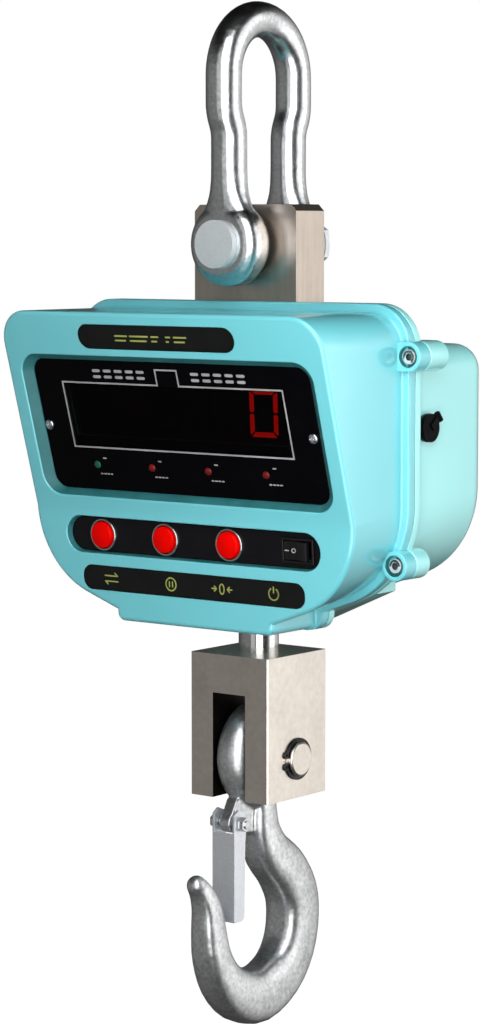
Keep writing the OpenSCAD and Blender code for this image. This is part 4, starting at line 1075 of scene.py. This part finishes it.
def button_label():
    """The strip below the keypad, with generic symbols in place of words."""
    bm = bmesh.new()
    plate(bm, lambda o: LABEL_SHAPE(o - 0.2), LOWER, LABEL_FLOOR, PLATE_TOP, 0.12)
    piece(bm, "button_label", LABEL_BLACK, "scale", ["lower_label"])

    bm = bmesh.new()
    y = LABEL_Y

    def stroke(x0, y0, x1, y1):
        bar(bm, x0, y0, x1, y1, SYMBOL_HALF, *ON_LABEL)

    x = BUTTON_X[0] + 8.0                                   # two arrows for changing over
    for s in (-1, 1):
        stroke(x - 5 * s, y + 1.7 * s, x + 5 * s, y + 1.7 * s)
        stroke(x + 5 * s, y + 1.7 * s, x + 2.9 * s, y + 3.5 * s)
    x = BUTTON_X[1] + 6.0                                   # two bars for holding the reading
    band(bm, circle(3.9, x, y, 32), SYMBOL_HALF, *ON_LABEL)
    for s in (-1, 1):
        stroke(x + 1.2 * s, y - 1.5, x + 1.2 * s, y + 1.5)
    x = BUTTON_X[2] - 4.0                                   # a nought between two arrows
    band(bm, [(x + 1.7 * math.cos(a), y + 3.0 * math.sin(a)) for a in
              [2 * math.pi * i / 28 for i in range(28)]], SYMBOL_HALF, *ON_LABEL)
    for s in (-1, 1):
        stroke(x + 4 * s, y, x + 7.6 * s, y)
        for v in (-1.5, 1.5):
            stroke(x + 4 * s, y, x + 5.7 * s, y + v)
    x = ROCKER_X - 16.5                                     # a broken ring and a bar for power
    ends = [(x + 3.6 * math.cos(a), y + 3.6 * math.sin(a)) for a in
            [math.radians(125 + 290 * i / 22) for i in range(23)]]
    for p, q in zip(ends, ends[1:]):
        stroke(*p, *q)
    stroke(x, y + 0.8, x, y + 4.2)
    piece(bm, "button_label_marks", OLIVE_INK, "scale", ["lower_label"])


# ---- control strip

CAP_R, CAP_ROUND, CAP_LOW = 8.2, 1.5, -2.0
CAP_CROWN = (0.8, 1.7, 2.8, 4.0, 5.3)      # steps in from the cap's round


def keypad():
    bm = bmesh.new()
    holes = [disc_shape(BUTTON_HOLE_R, x, STRIP_Y, 48) for x in BUTTON_X]
    rocker_hole = panel_shape(ROCKER_HW, -ROCKER_HH, ROCKER_HH, 0.6, 2)
    holes.append(lambda o: shifted(rocker_hole(o), ROCKER_X, STRIP_Y))
    plate(bm, slot_shape(STRIP_W - 1.8, STRIP_H - 1.8, STRIP_Y), LOWER, STRIP_FLOOR, STRIP_FACE,
          0.5, holes)
    piece(bm, "keypad", KEYPAD, "scale", ["keypad_plate"])


def buttons():
    bm = bmesh.new()
    profile = [(BUTTON_HOLE_R, 0), (10.2, 0), (10.2, 0.5), (10.12, 0.8)]
    profile += [(9.35 + 0.75 * math.cos(a), 0.8 + 0.7 * math.sin(a)) for a in quarter(4)[1:]]
    profile += [(9.0, 1.44), (8.75, 1.3), (BUTTON_HOLE_R, 1.1), (BUTTON_HOLE_R, 0)]
    for x in BUTTON_X:
        lathe(bm, profile, moved(LOWER, x, STRIP_Y, STRIP_FACE), 72)
    piece(bm, "button_rings", POLISHED, "scale", ["button_bezels"])

    r = CAP_R
    profile = [(0, -10), (1.8, -10), (2, -9.8), (2, -6.4), (r - 0.3, -6.4), (r, -6.1),
               (r, CAP_LOW)]
    profile += [(r - CAP_ROUND * (1 - math.cos(a)), CAP_LOW + CAP_ROUND * math.sin(a))
                for a in quarter(6)[1:]]
    profile += [(r - CAP_ROUND - d, -0.5 + 1.35 * math.sin(math.radians(d / 6.7 * 90)) * 0.78)
                for d in CAP_CROWN]
    profile.append((0, 0.62))
    for i, body in enumerate(("left_button", "middle_button", "right_button")):
        bm = bmesh.new()
        lathe(bm, profile, moved(LOWER, BUTTON_X[i], STRIP_Y), 64)
        piece(bm, "button_cap_%d" % (i + 1), RED_CAP, body, ["button_%d" % (i + 1)])


def rocker():
    """The switch, and its marks on the left half, which slopes as the CAD's facets do."""
    softened("rocker_frame", 0.5, ROCKER, "scale", 3)
    softened("rocker", 0.4, ROCKER, "power_rocker", 3)
    left = [f for f in NODES["rocker"].data.polygons
            if f.normal.dot(LOWER.w) > 0.9 and f.center.x / MM - ROCKER_X < -0.5]
    area = sum(f.area for f in left)
    n = sum((f.normal * f.area for f in left), Vector()).normalized()
    c = sum((f.center * f.area for f in left), Vector()) / area / MM
    half = Frame(c, LOWER.v.cross(n).normalized(), LOWER.v, n)
    bm = bmesh.new()
    bar(bm, -4.0, 0, -1.6, 0, 0.3, half, -0.05, 0.1)
    band(bm, circle(1.2, 1.9, 0, 24), 0.26, half, -0.05, 0.1)
    piece(bm, "rocker_marks", WHITE_INK, "power_rocker", ["rocker"])


# ---- screws and small metal

HEAD_RADIUS, HEAD_DOME = 3.2, 1.4
CROSS_LONG, CROSS_HALF = (1.9, 2.1), (0.35, 0.42)    # at the bottom, at the top
CROSS_FOOT, CROSS_MOUTH = 1.0, 3


def panel_screw_heads():
    r = HEAD_RADIUS
    profile = [(0, -5), (1.5, -5), (1.5, 0.02), (3.0, 0.02), (r, 0.2), (r, 0.7)]
    profile += [(r * math.cos(a), 0.7 + HEAD_DOME * math.sin(a)) for a in quarter(8)[1:-1]]
    profile.append((0, 2.1))
    for k, s in enumerate((-1, 1)):
        fr = moved(UPPER, s * PANEL_SCREW[0], PANEL_SCREW[1], PANEL_FACE)
        bm = bmesh.new()
        lathe(bm, profile, fr, 40)
        obj = finish_mesh(bm, "scratch_head", [])
        for hus, hvs in ((CROSS_HALF, CROSS_LONG), (CROSS_LONG, CROSS_HALF)):
            loops = [lift([(-hu, -hv), (hu, -hv), (hu, hv), (-hu, hv)], w)
                     for hu, hv, w in zip(hus, hvs, (CROSS_FOOT, CROSS_MOUTH))]
            boolean(obj, lambda cut: solid(cut, loops, fr), "DIFFERENCE")
        piece(reopened(obj), "panel_screw_%d" % (k + 1), ZINC_BRIGHT, "scale",
              ["panel_screws"])


COIL_TURNS, COIL_R, WIRE_R, COIL_STEPS, WIRE_SIDES = 2.0, 3.7, 0.44, 56, 10


def latch_coil():
    """Two turns of wire round the bolt."""
    lo, hi = box_mm("latch_spring")
    y, z = (lo.y + hi.y) / 2, (lo.z + hi.z) / 2
    along = Vector((1, 0, 0))
    bm = bmesh.new()
    rings = []
    for i in range(COIL_STEPS + 1):
        a = 2 * math.pi * COIL_TURNS * i / COIL_STEPS
        x = lo.x + WIRE_R + (hi.x - lo.x - 2 * WIRE_R) * i / COIL_STEPS
        c = Vector((x, y + COIL_R * math.sin(a), z + COIL_R * math.cos(a)))
        out = Vector((0, math.sin(a), math.cos(a)))
        rings.append([bm.verts.new((c + (along * math.cos(b) + out * math.sin(b)) * WIRE_R) * MM)
                      for b in [2 * math.pi * k / WIRE_SIDES for k in range(WIRE_SIDES)]])
    for p, q in zip(rings, rings[1:]):
        bridge(bm, p, q)
    cap(bm, rings[0])
    cap(bm, rings[-1])
    piece(bm, "latch_coil", ZINC_BRIGHT, "eye_hook", ["latch_spring"])


display_border()
display_print()
lamps()
digits()
name_plate()
button_label()
keypad()
buttons()
rocker()
panel_screw_heads()
latch_coil()

forged("shackle_bow", ZINC, "suspension")
forged("hook", ZINC_HOOK, "eye_hook")
for node, width, material, body, slot in (
        ("load_cell", 0.8, NICKEL, "scale", "nickel_steel"),
        ("shackle_pin", 0.9, ZINC_MATT, "suspension", "bright_zinc"),
        ("shackle_nut", 0.8, ZINC_MATT, "suspension", "bright_zinc"),
        ("hook_pin", 0.5, NICKEL_BLOCK, "swivel_block", "bright_zinc"),
        ("hook_pin_clips", 0.2, DARK_STEEL, "swivel_block", "dark_steel"),
        ("latch", 0.7, ZINC_LATCH, "safety_latch", "latch_zinc"),
        ("latch_bolt", 0.5, ZINC_BRIGHT, "eye_hook", "bright_zinc"),
        ("latch_nut", 0.5, ZINC_BRIGHT, "eye_hook", "bright_zinc"),
        ("charging_cap", 0.7, RUBBER, "charging_cover", "black_rubber"),
        ("top_seal", 0.6, RUBBER, "scale", "black_rubber"),
        ("bottom_seal", 0.5, RUBBER, "scale", "black_rubber"),
        ("rod_lock_screw", 0.3, DARK_STEEL, "swivel_block", "dark_steel")):
    softened(node, width, material, body)

SOCKET_R = 2.2
SLOT_HW, SLOT_TOP = 12.65, -399.9          # the block's slot, a hair wider than in the CAD
# The faces within SOCKET_R of each boss centre, the screws' sockets, get the dark grey: painted
# shade.
screws = softened("housing_screws", 0.4, [ZINC_MATT, SOCKET_SHADE], "scale")
darken(screws, lambda c, n: any(math.hypot(abs(c.x) - x, c.z - z) < SOCKET_R for x, z in BOSSES))
# The walls inside the block's slot get the near black: painted shade.
block = softened("hook_block", 0.8, [NICKEL_BLOCK, SLOT_SHADE], "swivel_block")
darken(block, lambda c, n: abs(c.x) < SLOT_HW and c.z < SLOT_TOP and abs(n.y) < 0.5)


# ---- CAD nodes that stay

STAYING = {
    ZINC_BRIGHT: ("shackle_cotter", "rod_nut_pin"),
    POLISHED: ("hook_rod", "rod_nut", "upper_race", "lower_race", "bearing_balls", "gauge_covers"),
    BRASS: ("bearing_cage", "display_standoffs", "pcb_standoffs"),
    RUBBER: ("housing_gasket",),
    BOARD: ("display_pcb", "main_pcb", "strain_gauges"),
    COMPONENT: ("pcb_parts", "button_switches", "rocker_body", "charging_socket"),
    CASE_GREY: ("battery",),
    SHEET_STEEL: ("battery_tray", "battery_strap", "mounting_brackets"),
    DARK_STEEL: ("bracket_screws",),
    SHEATH: ("battery_leads", "signal_cable"),
}
for material, names in STAYING.items():
    for name in names:
        slots = NODES[name].data.materials
        if not slots:
            slots.append(material)
        for i in range(len(slots)):
            slots[i] = material
